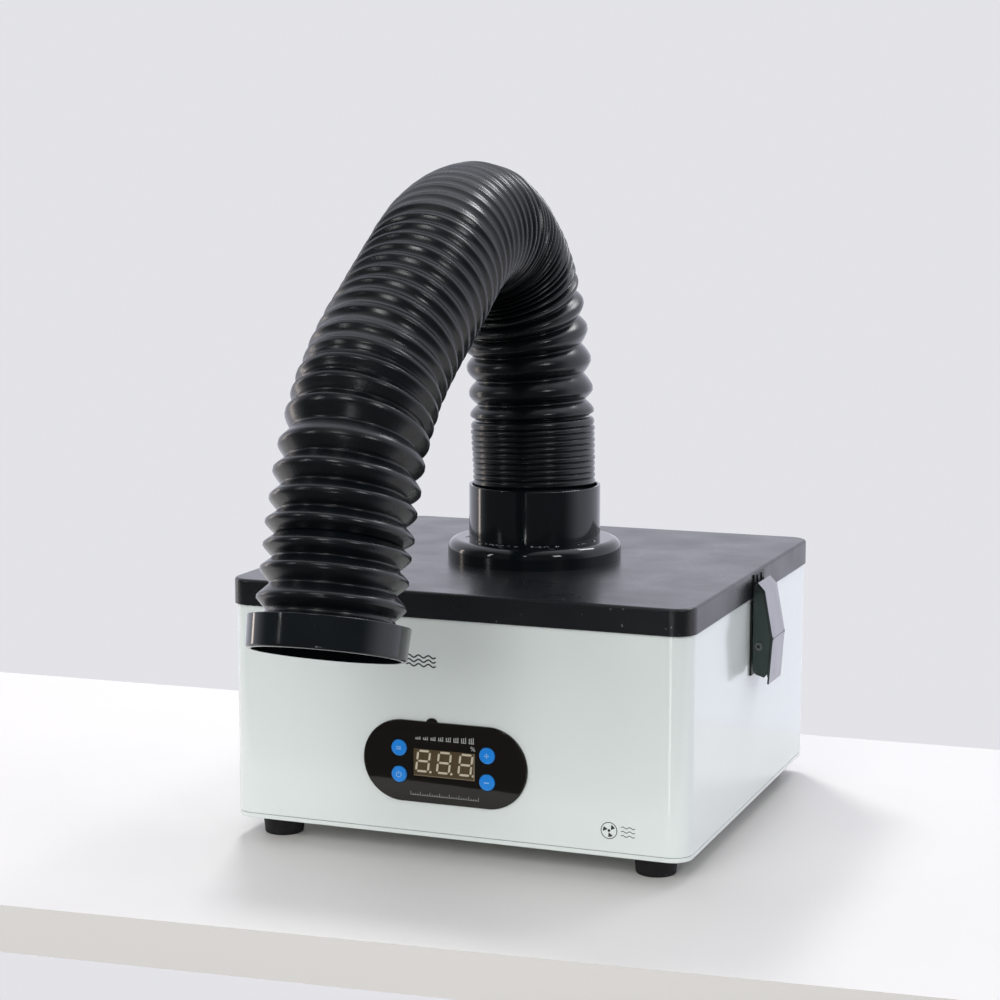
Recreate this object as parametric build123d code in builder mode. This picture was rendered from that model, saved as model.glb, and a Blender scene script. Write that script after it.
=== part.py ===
from build123d import *
import os
from math import cos, radians, sin, tan

os.makedirs("parts", exist_ok=True)

# Bench-top solder fume extractor: a sheet-metal filter box with a lift-off lid, a corrugated
# duct arm with a nozzle ring, and a centrifugal blower below the filter stack.
# +Z is up, the control panel faces -Y, the feet stand on z = 0 and the duct's axis is x = y = 0.

# ---- driving dimensions (mm) ----
lid_width = 280.0
lid_depth = 273.5
lid_top = 154.0
lid_rim = 15.2
lid_sheet = 0.8
lid_corner = 12.5
lid_overhang = 1.1

foot_height = 12.0
foot_spacing_x = 230.8
foot_spacing_y = 231.6

panel_width = 100.0
panel_height = 47.3
panel_x = -3.9
panel_z = 55.75

collar_radius = 40.2
collar_bore = 38.1
collar_top = 199.4
flange_radius = 53.1
flange_height = 12.5

hose_radius = 38.5
hose_wall = 2.5
# Corners of the duct arm's centreline, from inside the collar over the arch to the nozzle.
hose_route = [
    (0, 0, 176),
    (-2, 4, 240),
    (-8, 0, 310),
    (-15, -40, 358),
    (-10, -111, 353),
    (-6, -167, 322),
    (-11, -222, 280),
    (-11, -255, 225),
    (-10, -274, 162),
]

blower_x = 10.0
blower_y = 22.0
wheel_radius = 58.0

latch_y = 4.5
latch_width = 28.6

# ---- derived dimensions ----
body_width = lid_width - 2 * lid_overhang
body_depth = lid_depth - 2 * lid_overhang
body_corner = 12.0
body_sheet = 1.0
side_x = body_width / 2
front_y = body_depth / 2
pan_sheet = 1.2
pan_lip = 2.6
pan_top = foot_height + pan_sheet
shell_bottom = foot_height + pan_lip + 0.4
shell_top = 150.0
flange_ledge = 10.0
lid_under = lid_top - lid_sheet
inner_width = body_width - 2 * body_sheet
inner_depth = body_depth - 2 * body_sheet
filter_width = inner_width - 2 * flange_ledge - 4
filter_depth = inner_depth - 2 * flange_ledge - 4


def save(piece, name):
    """Labels a finished sub-part and writes its STEP file."""
    piece.part.label = name
    export_step(piece.part, f"parts/{name}.step")


# ---- base pan: a shallow tray whose rolled lip shows below the shell ----
pan_rim = 3.0
base_screw_radius = 1.5
base_boss_radius = 4.0
screw_clearance = 0.1
foot_screw_radius = 2.0
base_screw_spots = [
    (x, y) for x in (-side_x + 9, 0, side_x - 9) for y in (-front_y + 9, front_y - 9)
]
with BuildPart() as base_pan:
    with BuildSketch(Plane.XY.offset(foot_height)):
        RectangleRounded(body_width, body_depth, body_corner)
    extrude(amount=pan_lip)
    with BuildSketch(Plane.XY.offset(pan_top)):
        RectangleRounded(body_width - 2 * pan_rim, body_depth - 2 * pan_rim, body_corner - pan_rim)
    extrude(amount=pan_lip, mode=Mode.SUBTRACT)
    with BuildSketch(Plane.XY.offset(pan_top)):
        with Locations(*base_screw_spots):
            Circle(base_boss_radius)
    extrude(amount=shell_bottom - pan_top)
    with BuildSketch(Plane.XY.offset(foot_height)):
        with Locations(*base_screw_spots):
            Circle(base_screw_radius + screw_clearance)
        with GridLocations(foot_spacing_x, foot_spacing_y, 2, 2):
            Circle(foot_screw_radius + screw_clearance)
    extrude(amount=pan_lip + 1, mode=Mode.SUBTRACT)
    fillet(base_pan.edges().group_by(Axis.Z)[0].filter_by(GeomType.LINE), 0.5)
save(base_pan, "base_pan")

screw_head = 1.6
screw_head_radius = 2.8
with BuildPart() as base_screws:
    with BuildSketch(Plane.XY.offset(foot_height - screw_head)):
        with Locations(*base_screw_spots):
            Circle(screw_head_radius)
    extrude(amount=screw_head)
    with BuildSketch(Plane.XY.offset(foot_height)):
        with Locations(*base_screw_spots):
            Circle(base_screw_radius)
    extrude(amount=8)
save(base_screws, "base_screws")

# ---- four tapered rubber feet, each on a recessed screw ----
foot_bottom_radius = 11.3
foot_top_radius = 12.5
foot_recess_radius = 5.0
foot_recess = 4.0
foot_head = 2.8
foot_nut_radius = 4.0
foot_spots = {
    "foot_front_left": (-1, -1),
    "foot_front_right": (1, -1),
    "foot_rear_left": (-1, 1),
    "foot_rear_right": (1, 1),
}
for foot_name, (side, end) in foot_spots.items():
    spot = (side * foot_spacing_x / 2, end * foot_spacing_y / 2)
    with BuildPart() as foot:
        with BuildSketch(Plane.XY):
            with Locations(spot):
                Circle(foot_bottom_radius)
        with BuildSketch(Plane.XY.offset(foot_height)):
            with Locations(spot):
                Circle(foot_top_radius)
        loft()
        fillet(foot.edges().sort_by(Axis.Z)[0], 1.0)
        with BuildSketch(Plane.XY):
            with Locations(spot):
                Circle(foot_recess_radius)
        extrude(amount=foot_recess, mode=Mode.SUBTRACT)
        with BuildSketch(Plane.XY):
            with Locations(spot):
                Circle(foot_screw_radius + 2 * screw_clearance)
        extrude(amount=foot_height, mode=Mode.SUBTRACT)
    save(foot, foot_name)

with BuildPart() as foot_screws:
    with BuildSketch(Plane.XY.offset(foot_recess - foot_head)):
        with GridLocations(foot_spacing_x, foot_spacing_y, 2, 2):
            Circle(foot_nut_radius)
    extrude(amount=foot_head)
    with BuildSketch(Plane.XY.offset(foot_recess)):
        with GridLocations(foot_spacing_x, foot_spacing_y, 2, 2):
            Circle(foot_screw_radius)
    extrude(amount=15)
    with BuildSketch(Plane.XY.offset(pan_top)):
        with GridLocations(foot_spacing_x, foot_spacing_y, 2, 2):
            RegularPolygon(foot_nut_radius, 6)
    extrude(amount=3.2)
save(foot_screws, "foot_screws")

# ---- body shell: one wrapped sheet with a ledge under the lid and a flange on the pan ----
hub_inset = 6.0
grille_x = blower_x + 54
grille_z = 54.0
grille_opening = (70.0, 46.0)
inlet_x = -92.0
inlet_z = 48.0
inlet_size = (27.2, 19.8)
rocker_x = -50.0
rocker_z = 48.0
rocker_size = (13.0, 19.0)
cutout_gap = 0.4
rivet_spots = [(latch_y, 100), (latch_y - 5, 131), (latch_y + 5, 131)]
rivet_radius = 1.6
catch_spots = [(latch_y - 4.5, 149.8), (latch_y + 4.5, 149.8)]
catch_rivet_radius = 1.3

with BuildPart() as body_shell:
    with BuildSketch(Plane.XY.offset(shell_bottom)):
        RectangleRounded(body_width, body_depth, body_corner)
        RectangleRounded(inner_width, inner_depth, body_corner - body_sheet, mode=Mode.SUBTRACT)
    extrude(amount=shell_top - shell_bottom)
    for flange_z in (shell_bottom, shell_top - body_sheet):
        with BuildSketch(Plane.XY.offset(flange_z)):
            RectangleRounded(body_width, body_depth, body_corner)
            RectangleRounded(
                inner_width - 2 * flange_ledge, inner_depth - 2 * flange_ledge, 6, mode=Mode.SUBTRACT
            )
        extrude(amount=body_sheet)
    with BuildSketch(Plane.XY.offset(shell_bottom)):
        with Locations(*base_screw_spots):
            Circle(base_screw_radius + screw_clearance)
        with GridLocations(foot_spacing_x, foot_spacing_y, 2, 2):
            Circle(foot_nut_radius + 2)
    extrude(amount=body_sheet, mode=Mode.SUBTRACT)
    with BuildSketch(Plane.XZ.offset(front_y)):
        with Locations((panel_x, panel_z)):
            SlotOverall(panel_width - hub_inset + 0.6, panel_height - hub_inset + 0.6)
    extrude(amount=-2 * body_sheet, mode=Mode.SUBTRACT)
    with BuildSketch(Plane.XZ.offset(-front_y)):
        with Locations((grille_x, grille_z)):
            RectangleRounded(*grille_opening, 3)
        with Locations((inlet_x, inlet_z)):
            Rectangle(inlet_size[0] + cutout_gap, inlet_size[1] + cutout_gap)
        with Locations((rocker_x, rocker_z)):
            Rectangle(rocker_size[0] + cutout_gap, rocker_size[1] + cutout_gap)
    extrude(amount=2 * body_sheet, mode=Mode.SUBTRACT)
    for side in (-1, 1):
        with BuildSketch(Plane.YZ.offset(side * side_x - 2)):
            with Locations(*rivet_spots):
                Circle(rivet_radius)
        extrude(amount=4, mode=Mode.SUBTRACT)
save(body_shell, "body_shell")

# ---- filter shelf: divides the case, with the blower's opening and a seat for the filters ----
shelf_z = 84.8
seat_z = 96.0
seat_width = 8.0
shelf_opening = 48.0
with BuildPart() as filter_shelf:
    with BuildSketch(Plane.XY.offset(shelf_z)):
        RectangleRounded(inner_width - 0.6, inner_depth - 0.6, 10.5)
    extrude(amount=pan_sheet)
    with BuildSketch(Plane.XY.offset(shelf_z + pan_sheet)):
        RectangleRounded(inner_width - 0.6, inner_depth - 0.6, 10.5)
        RectangleRounded(inner_width - 3, inner_depth - 3, 9.3, mode=Mode.SUBTRACT)
        RectangleRounded(
            filter_width - 2 * (seat_width - pan_sheet), filter_depth - 2 * (seat_width - pan_sheet), 5
        )
        RectangleRounded(
            filter_width - 2 * seat_width, filter_depth - 2 * seat_width, 3.8, mode=Mode.SUBTRACT
        )
    extrude(amount=seat_z - shelf_z - pan_sheet)
    with BuildSketch(Plane.XY.offset(seat_z - pan_sheet)):
        RectangleRounded(filter_width, filter_depth, 4)
        RectangleRounded(
            filter_width - 2 * seat_width, filter_depth - 2 * seat_width, 3.8, mode=Mode.SUBTRACT
        )
    extrude(amount=pan_sheet)
    with BuildSketch(Plane.XY.offset(shelf_z)):
        with Locations((blower_x, blower_y)):
            Circle(shelf_opening)
    extrude(amount=pan_sheet, mode=Mode.SUBTRACT)
save(filter_shelf, "filter_shelf")

# ---- filter stack: carbon block, HEPA cassette and prefilter pad ----
carbon_height = 15.0
hepa_height = 28.0
prefilter_height = 7.0
hepa_z = seat_z + carbon_height
prefilter_z = hepa_z + hepa_height

with BuildPart() as carbon_filter:
    with BuildSketch(Plane.XY.offset(seat_z)):
        RectangleRounded(filter_width - 1, filter_depth - 1, 3)
    extrude(amount=carbon_height)
save(carbon_filter, "carbon_filter")

with BuildPart() as hepa_frame:
    with BuildSketch(Plane.XY.offset(hepa_z)):
        RectangleRounded(filter_width - 1, filter_depth - 1, 3)
        Rectangle(filter_width - 9, filter_depth - 9, mode=Mode.SUBTRACT)
    extrude(amount=hepa_height)
save(hepa_frame, "hepa_frame")

pleat_count = 20
pleat_pitch = (filter_width - 11) / pleat_count
pleat_rise = 3.0
pleat_low = hepa_z + 1.5
pleat_high = hepa_z + hepa_height - pleat_rise - 1.5
fold_line = [(-pleat_count * pleat_pitch / 2, pleat_low)]
for i in range(pleat_count):
    left = -pleat_count * pleat_pitch / 2 + i * pleat_pitch
    fold_line.append((left + pleat_pitch / 2, pleat_high))
    fold_line.append((left + pleat_pitch, pleat_low))
# The paper's upper side is the fold line raised, which leaves it about 0.7 mm thick on the flanks.
fold_back = [(x, z + pleat_rise) for x, z in reversed(fold_line)]
with BuildPart() as hepa_pleats:
    with BuildSketch(Plane.XZ.offset(-(filter_depth - 10) / 2)):
        with BuildLine():
            Polyline(*fold_line, *fold_back, close=True)
        make_face()
    extrude(amount=filter_depth - 10)
save(hepa_pleats, "hepa_pleats")

with BuildPart() as prefilter:
    with BuildSketch(Plane.XY.offset(prefilter_z)):
        RectangleRounded(filter_width, filter_depth, 4)
    extrude(amount=prefilter_height)
    fillet(prefilter.edges().group_by(Axis.Z)[-1], 2)
save(prefilter, "prefilter")

# ---- centrifugal blower: spiral scroll with an outlet to the back, cover, wheel and motor ----
scroll_wall = 2.0
scroll_bottom = 30.0
scroll_top = 78.0
cover_top = scroll_top + 2
outlet_end = front_y - body_sheet - 0.2 - blower_y
outlet_left = 20.0
spiral_step = 8.0
spiral_start = 68.0
boss_spots = [(-56, 48), (-53.6, -61.6), (67.3, -59.3), (93.5, 60)]
boss_radius = 5.0
leg_spots = [(-50, -40), (55, -55), (-50, 40), (70, 90)]
blower_screw_radius = 1.5
blower_screw_length = 12.0
eye_of_wheel = 46.0


def scroll_face(end):
    """The air space seen from above: quarter arcs that widen by one step each, then the outlet."""
    half = spiral_step / 2
    tongue = spiral_start - half
    right = half + spiral_start + 2 * spiral_step
    with BuildSketch() as face:
        with BuildLine():
            Line((outlet_left, end), (outlet_left, tongue + 6))
            CenterArc((outlet_left - 6, tongue + 6), 6, 0, -90)
            Line((outlet_left - 6, tongue), (-half, tongue))
            CenterArc((-half, -half), spiral_start, 90, 90)
            CenterArc((half, -half), spiral_start + spiral_step, 180, 90)
            CenterArc((half, half), spiral_start + 2 * spiral_step, 270, 90)
            Line((right, half), (right, end))
            Line((right, end), (outlet_left, end))
        make_face()
    return face.sketch


air_space = scroll_face(outlet_end + 5)
air_outline = scroll_face(outlet_end - scroll_wall)

with BuildPart() as blower_scroll:
    with BuildSketch(Plane.XY.offset(scroll_bottom)):
        with Locations((blower_x, blower_y)):
            add(air_outline)
            offset(amount=scroll_wall)
            with Locations(*boss_spots):
                Circle(boss_radius)
    extrude(amount=scroll_top - scroll_bottom)
    with BuildSketch(Plane.XY.offset(scroll_bottom + scroll_wall)):
        with Locations((blower_x, blower_y)):
            add(air_space)
    extrude(amount=scroll_top, mode=Mode.SUBTRACT)
    with BuildSketch(Plane.XY.offset(pan_top)):
        with Locations((blower_x, blower_y)):
            with Locations(*leg_spots):
                Circle(boss_radius)
    extrude(amount=scroll_bottom - pan_top)
    with BuildSketch(Plane.XY.offset(scroll_top - blower_screw_length - 2)):
        with Locations((blower_x, blower_y)):
            with Locations(*boss_spots):
                Circle(blower_screw_radius)
    extrude(amount=blower_screw_length + 2, mode=Mode.SUBTRACT)
save(blower_scroll, "blower_scroll")

with BuildPart() as blower_cover:
    with BuildSketch(Plane.XY.offset(scroll_top)):
        with Locations((blower_x, blower_y)):
            add(air_outline)
            offset(amount=scroll_wall)
            with Locations(*boss_spots):
                Circle(boss_radius)
        with Locations((blower_x, blower_y)):
            Circle(eye_of_wheel, mode=Mode.SUBTRACT)
            with Locations(*boss_spots):
                Circle(blower_screw_radius + 0.2, mode=Mode.SUBTRACT)
    extrude(amount=cover_top - scroll_top)
    with BuildSketch(Plane.XY.offset(cover_top)):
        with Locations((blower_x, blower_y)):
            Circle(eye_of_wheel + scroll_wall)
            Circle(eye_of_wheel, mode=Mode.SUBTRACT)
    extrude(amount=2.5)
save(blower_cover, "blower_cover")

with BuildPart() as blower_gasket:
    with BuildSketch(Plane.XY.offset(cover_top)):
        with Locations((blower_x, blower_y)):
            Circle(wheel_radius)
            Circle(eye_of_wheel + scroll_wall + 1, mode=Mode.SUBTRACT)
    extrude(amount=shelf_z - cover_top)
save(blower_gasket, "blower_gasket")

with BuildPart() as blower_screws:
    with BuildSketch(Plane.XY.offset(cover_top)):
        with Locations((blower_x, blower_y)):
            with Locations(*boss_spots):
                Circle(2 * blower_screw_radius)
    extrude(amount=2.2)
    with BuildSketch(Plane.XY.offset(scroll_top - blower_screw_length)):
        with Locations((blower_x, blower_y)):
            with Locations(*boss_spots):
                Circle(blower_screw_radius)
    extrude(amount=cover_top - scroll_top + blower_screw_length)
save(blower_screws, "blower_screws")

motor_bottom = scroll_bottom + scroll_wall
motor_top = 60.0
motor_radius = 26.0
shaft_radius = 3.0
shaft_bottom = 45.0
shaft_length = 22.0
shaft_well = 44.0
with BuildPart() as motor:
    with BuildSketch(Plane.XY.offset(motor_bottom)):
        with Locations((blower_x, blower_y)):
            Circle(motor_radius)
    extrude(amount=motor_top - motor_bottom)
    fillet(motor.edges().group_by(Axis.Z)[-1], 2.5)
    with BuildSketch(Plane.XY.offset(shaft_well)):
        with Locations((blower_x, blower_y)):
            Circle(shaft_radius + 0.05)
    extrude(amount=motor_top - shaft_well, mode=Mode.SUBTRACT)
save(motor, "motor")

with BuildPart() as motor_shaft:
    with BuildSketch(Plane.XY.offset(shaft_bottom)):
        with Locations((blower_x, blower_y)):
            Circle(shaft_radius)
    extrude(amount=shaft_length)
save(motor_shaft, "motor_shaft")

# The wheel's hub is a cup over the motor, and its curved blades stand on a ring around it.
blade_count = 30
blade_inner = 46.0
blade_outer = 57.0
hub_outer = 31.0
hub_inner = 29.0
hub_cap = 3.0
wheel_bottom = 36.0
wheel_ring = 2.0
shroud_bottom = 74.0
shroud_inner = 52.0
shroud_height = 3.0
with BuildSketch() as blade:
    with BuildLine():
        ThreePointArc((blade_inner, 0), (51.5, -2.2), (blade_outer, 1.8))
        Line((blade_outer, 1.8), (blade_outer - 0.6, 2.8))
        ThreePointArc((blade_outer - 0.6, 2.8), (51.3, -1.1), (blade_inner, 1.1))
        Line((blade_inner, 1.1), (blade_inner, 0))
    make_face()

wheel_plane = Plane((blower_x, blower_y, 0))
with BuildPart() as impeller:
    with BuildSketch(wheel_plane.offset(wheel_bottom)):
        Circle(wheel_radius)
        Circle(hub_inner, mode=Mode.SUBTRACT)
    extrude(amount=wheel_ring)
    with BuildSketch(wheel_plane.offset(wheel_bottom)):
        Circle(hub_outer)
        Circle(hub_inner, mode=Mode.SUBTRACT)
    extrude(amount=28)
    with BuildSketch(wheel_plane.offset(motor_top + 3)):
        Circle(hub_outer)
        Circle(shaft_radius, mode=Mode.SUBTRACT)
    extrude(amount=hub_cap)
    with BuildSketch(wheel_plane.offset(wheel_bottom)):
        with PolarLocations(0, blade_count):
            add(blade.sketch)
    extrude(amount=shroud_bottom - wheel_bottom + 0.5)
    with BuildSketch(wheel_plane.offset(shroud_bottom)):
        Circle(wheel_radius)
        Circle(shroud_inner, mode=Mode.SUBTRACT)
    extrude(amount=shroud_height)
save(impeller, "impeller")

# ---- power supply and the leads inside the case ----
supply_x = -102.0
supply_size = (58.0, 110.0, 32.0)
supply_stand = 3.0
terminal_recess = 6.0
with BuildPart() as power_supply:
    with BuildSketch(Plane.XY.offset(pan_top + supply_stand)):
        with Locations((supply_x, 0)):
            RectangleRounded(supply_size[0], supply_size[1], 1.5)
    extrude(amount=supply_size[2])
    with BuildSketch(Plane.XY.offset(pan_top)):
        with Locations((supply_x, 0)):
            with GridLocations(44, 96, 2, 2):
                Circle(supply_stand)
    extrude(amount=supply_stand)
    terminal_floor = pan_top + supply_stand + supply_size[2] - terminal_recess
    with BuildSketch(Plane.XY.offset(terminal_floor)):
        with Locations((supply_x, -48)):
            Rectangle(50, 14)
    extrude(amount=terminal_recess, mode=Mode.SUBTRACT)
    with BuildSketch(Plane.XY.offset(terminal_floor)):
        with Locations((supply_x, -48)):
            with GridLocations(9.5, 1, 5, 1):
                Rectangle(8, 10)
    extrude(amount=4)
save(power_supply, "power_supply")

mains_route = [(inlet_x, 117, 44), (inlet_x, 96, 44), (supply_x + 6, 74, 24), (supply_x + 6, 55.2, 24)]
control_route = [(supply_x, -55.2, 24), (supply_x, -78, 24), (-62, -96, 36), (-30, -98, 44), (-30, -125, 50)]
for lead_name, lead_route, lead_radius in (
    ("mains_lead", mains_route, 3.2),
    ("control_lead", control_route, 2.2),
):
    with BuildPart() as lead:
        with BuildLine() as lead_line:
            FilletPolyline(*lead_route, radius=9)
        with BuildSketch(Plane(lead_line.line @ 0, z_dir=lead_line.line % 0)):
            Circle(lead_radius)
        sweep()
    save(lead, lead_name)

# ---- control panel: fascia with a hollow hub through the shell, display, board and buttons ----
fascia_front = front_y + 1.5
fascia_back = front_y - 0.2
hub_back = front_y - 10
hub_wall = 1.6
window_x = -4.15
window_z = 55.4
display_size = (37.6, 15.9)
display_recess = 0.5
board_depth = 8.6
button_radius = 4.7
button_rise = 0.9
button_lip = 0.9
button_spots = {
    "button_mode": (-31.5, 63.05),
    "button_on_off": (-31.5, 47.6),
    "button_plus": (22.2, 63.05),
    "button_minus": (22.2, 47.6),
}
board_plane = Plane.XZ.offset(front_y - board_depth)

with BuildPart() as control_fascia:
    with BuildSketch(Plane.XZ.offset(front_y)):
        with Locations((panel_x, panel_z)):
            SlotOverall(panel_width, panel_height)
    extrude(amount=fascia_front - front_y)
    fillet(control_fascia.edges().group_by(Axis.Y)[0], 0.7)
    with BuildSketch(Plane.XZ.offset(front_y)):
        with Locations((panel_x, panel_z)):
            SlotOverall(panel_width - hub_inset, panel_height - hub_inset)
    extrude(amount=fascia_back - front_y)
    with BuildSketch(Plane.XZ.offset(fascia_back)):
        with Locations((panel_x, panel_z)):
            SlotOverall(panel_width - hub_inset, panel_height - hub_inset)
            SlotOverall(
                panel_width - hub_inset - 2 * hub_wall,
                panel_height - hub_inset - 2 * hub_wall,
                mode=Mode.SUBTRACT,
            )
    extrude(amount=hub_back - fascia_back)
    # a small snap catch stands out above the upper edge
    with BuildSketch(Plane.XZ.offset(front_y)):
        with Locations((-11.7, panel_z + panel_height / 2 - 0.9)):
            SlotOverall(7, 6)
    extrude(amount=1.0)
    with BuildSketch(Plane.XZ.offset(hub_back)):
        with Locations((window_x, window_z)):
            Rectangle(display_size[0] + 0.3, display_size[1] + 0.3)
        with Locations(*button_spots.values()):
            Circle(button_radius + 0.3)
    extrude(amount=20, mode=Mode.SUBTRACT)
save(control_fascia, "control_fascia")

with BuildPart() as display_module:
    with BuildSketch(board_plane):
        with Locations((window_x, window_z)):
            Rectangle(*display_size)
    extrude(amount=fascia_front - display_recess - front_y + board_depth)
save(display_module, "display_module")

with BuildPart() as control_board:
    with BuildSketch(board_plane):
        with Locations((panel_x, panel_z)):
            SlotOverall(86, 34)
    extrude(amount=-1.4)
save(control_board, "control_board")

with BuildPart() as key_switches:
    with BuildSketch(board_plane):
        with Locations(*button_spots.values()):
            Rectangle(6, 6)
    extrude(amount=4)
    with BuildSketch(board_plane.offset(4)):
        with Locations(*button_spots.values()):
            Circle(1.7)
    extrude(amount=2.35)
save(key_switches, "key_switches")

button_flange = fascia_back - 0.25
button_flange_radius = 6.2
for button_name, (button_x, button_z) in button_spots.items():
    with BuildPart() as button:
        with BuildSketch(Plane.XZ.offset(button_flange - button_lip)):
            with Locations((button_x, button_z)):
                Circle(button_flange_radius)
        extrude(amount=button_lip)
        with BuildSketch(Plane.XZ.offset(button_flange)):
            with Locations((button_x, button_z)):
                Circle(button_radius)
        extrude(amount=fascia_front + button_rise - button_flange)
        fillet(button.edges().group_by(Axis.Y)[0], 0.8)
    save(button, button_name)

# ---- back panel: exhaust grille, mains inlet and rocker switch ----
with BuildPart() as exhaust_grille:
    with BuildSketch(Plane.XZ.offset(-front_y - 2)):
        with Locations((grille_x, grille_z)):
            RectangleRounded(84, 60, 4)
    extrude(amount=2)
    fillet(exhaust_grille.edges().group_by(Axis.Y)[-1], 0.8)
    with BuildSketch(Plane.XZ.offset(-front_y)):
        with Locations((grille_x, grille_z)):
            RectangleRounded(grille_opening[0] - 0.6, grille_opening[1] - 0.6, 2.7)
    extrude(amount=1.2)
    with BuildSketch(Plane.XZ.offset(-front_y - 2)):
        with Locations((grille_x, grille_z)):
            with GridLocations(1, 5.6, 1, 8):
                SlotOverall(64, 3)
    extrude(amount=4, mode=Mode.SUBTRACT)
save(exhaust_grille, "exhaust_grille")

with BuildPart() as mains_inlet:
    with BuildSketch(Plane.XZ.offset(-front_y - 2)):
        with Locations((inlet_x, inlet_z)):
            RectangleRounded(31, 25, 2.5)
    extrude(amount=2)
    with BuildSketch(Plane.XZ.offset(-front_y)):
        with Locations((inlet_x, inlet_z)):
            Rectangle(*inlet_size)
    extrude(amount=18)
    with BuildSketch(Plane.XZ.offset(-front_y - 2)):
        with Locations((inlet_x, inlet_z)):
            RectangleRounded(24, 16.4, 3)
    extrude(amount=16, mode=Mode.SUBTRACT)
    with BuildSketch(Plane.XZ.offset(-front_y - 1)):
        with Locations((inlet_x, inlet_z)):
            with Locations((-7, -1.5), (0, 2.5), (7, -1.5)):
                Rectangle(2, 4)
    extrude(amount=16)
save(mains_inlet, "mains_inlet")

rocker_pivot_y = front_y - 1.0
rocker_cavity = 8.8
with BuildPart() as rocker_frame:
    with BuildSketch(Plane.XZ.offset(-front_y - 1.5)):
        with Locations((rocker_x, rocker_z)):
            RectangleRounded(rocker_size[0] + 2, rocker_size[1] + 2, 1)
    extrude(amount=1.5)
    with BuildSketch(Plane.XZ.offset(-front_y)):
        with Locations((rocker_x, rocker_z)):
            Rectangle(*rocker_size)
    extrude(amount=14)
    with BuildSketch(Plane.XZ.offset(-front_y - 1.5)):
        with Locations((rocker_x, rocker_z)):
            Rectangle(rocker_size[0] - 1.6, 2 * rocker_cavity)
    extrude(amount=7, mode=Mode.SUBTRACT)
    with BuildSketch(Plane.YZ.offset(rocker_x - 6.2)):
        with Locations((rocker_pivot_y, rocker_z)):
            Circle(1.25)
    extrude(amount=12.4, mode=Mode.SUBTRACT)
save(rocker_frame, "rocker_frame")

rocker_tilt = 10.0
rocker_plane = Plane(
    (rocker_x - 5.4, rocker_pivot_y, rocker_z),
    x_dir=(0, cos(radians(rocker_tilt)), sin(radians(rocker_tilt))),
    z_dir=(1, 0, 0),
)
with BuildPart() as power_rocker:
    with BuildSketch(rocker_plane):
        Polygon((-1.2, -7.6), (4.2, -7.6), (2.8, 0), (4.2, 7.6), (-1.2, 7.6), align=None)
    extrude(amount=10.8)
    with BuildSketch(rocker_plane.offset(-0.7)):
        Circle(1.2)
    extrude(amount=12.2)
save(power_rocker, "power_rocker")

# ---- lid: a shallow pan over the shell, with the duct hole, gasket, flange and collar ----
flange_screw_circle = 46.2
with BuildPart() as lid_pan:
    with BuildSketch(Plane.XY.offset(lid_top - lid_rim)):
        RectangleRounded(lid_width, lid_depth, lid_corner)
    extrude(amount=lid_rim)
    fillet(lid_pan.edges().group_by(Axis.Z)[-1], 1.8)
    with BuildSketch(Plane.XY.offset(lid_top - lid_rim)):
        RectangleRounded(lid_width - 2 * lid_sheet, lid_depth - 2 * lid_sheet, lid_corner - lid_sheet)
    extrude(amount=lid_rim - lid_sheet, mode=Mode.SUBTRACT)
    with BuildSketch(Plane.XY.offset(lid_under)):
        Circle(collar_bore)
        with PolarLocations(flange_screw_circle, 4, 45):
            Circle(2.1)
    extrude(amount=lid_sheet, mode=Mode.SUBTRACT)
    for side in (-1, 1):
        with BuildSketch(Plane.YZ.offset(side * lid_width / 2 - 2)):
            with Locations(*catch_spots):
                Circle(catch_rivet_radius)
        extrude(amount=4, mode=Mode.SUBTRACT)
save(lid_pan, "lid_pan")

with BuildPart() as lid_gasket:
    with BuildSketch(Plane.XY.offset(shell_top)):
        RectangleRounded(inner_width - 3, inner_depth - 3, 9)
        RectangleRounded(inner_width - 18, inner_depth - 18, 5, mode=Mode.SUBTRACT)
    extrude(amount=lid_under - shell_top)
save(lid_gasket, "lid_gasket")

with BuildPart() as inlet_flange:
    with BuildSketch(Plane.XY.offset(lid_top)):
        Circle(flange_radius)
    extrude(amount=flange_height)
    fillet(inlet_flange.edges().group_by(Axis.Z)[-1], 6)
    with BuildSketch(Plane.XY.offset(lid_top)):
        Circle(collar_radius)
    extrude(amount=flange_height, mode=Mode.SUBTRACT)
    with BuildSketch(Plane.XY.offset(lid_top)):
        with PolarLocations(flange_screw_circle, 4, 45):
            Circle(2)
    extrude(amount=8, mode=Mode.SUBTRACT)
save(inlet_flange, "inlet_flange")

with BuildPart() as inlet_collar:
    with BuildSketch(Plane.XY.offset(lid_top)):
        Circle(collar_radius)
        Circle(collar_bore, mode=Mode.SUBTRACT)
    extrude(amount=collar_top - lid_top)
    fillet(inlet_collar.edges().group_by(Axis.Z)[-1], 0.5)
save(inlet_collar, "inlet_collar")

with BuildPart() as flange_screws:
    with BuildSketch(Plane.XY.offset(lid_under - 2.4)):
        with PolarLocations(flange_screw_circle, 4, 45):
            Circle(3.8)
    extrude(amount=2.4)
    with BuildSketch(Plane.XY.offset(lid_under)):
        with PolarLocations(flange_screw_circle, 4, 45):
            Circle(2)
    extrude(amount=8)
save(flange_screws, "flange_screws")

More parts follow.
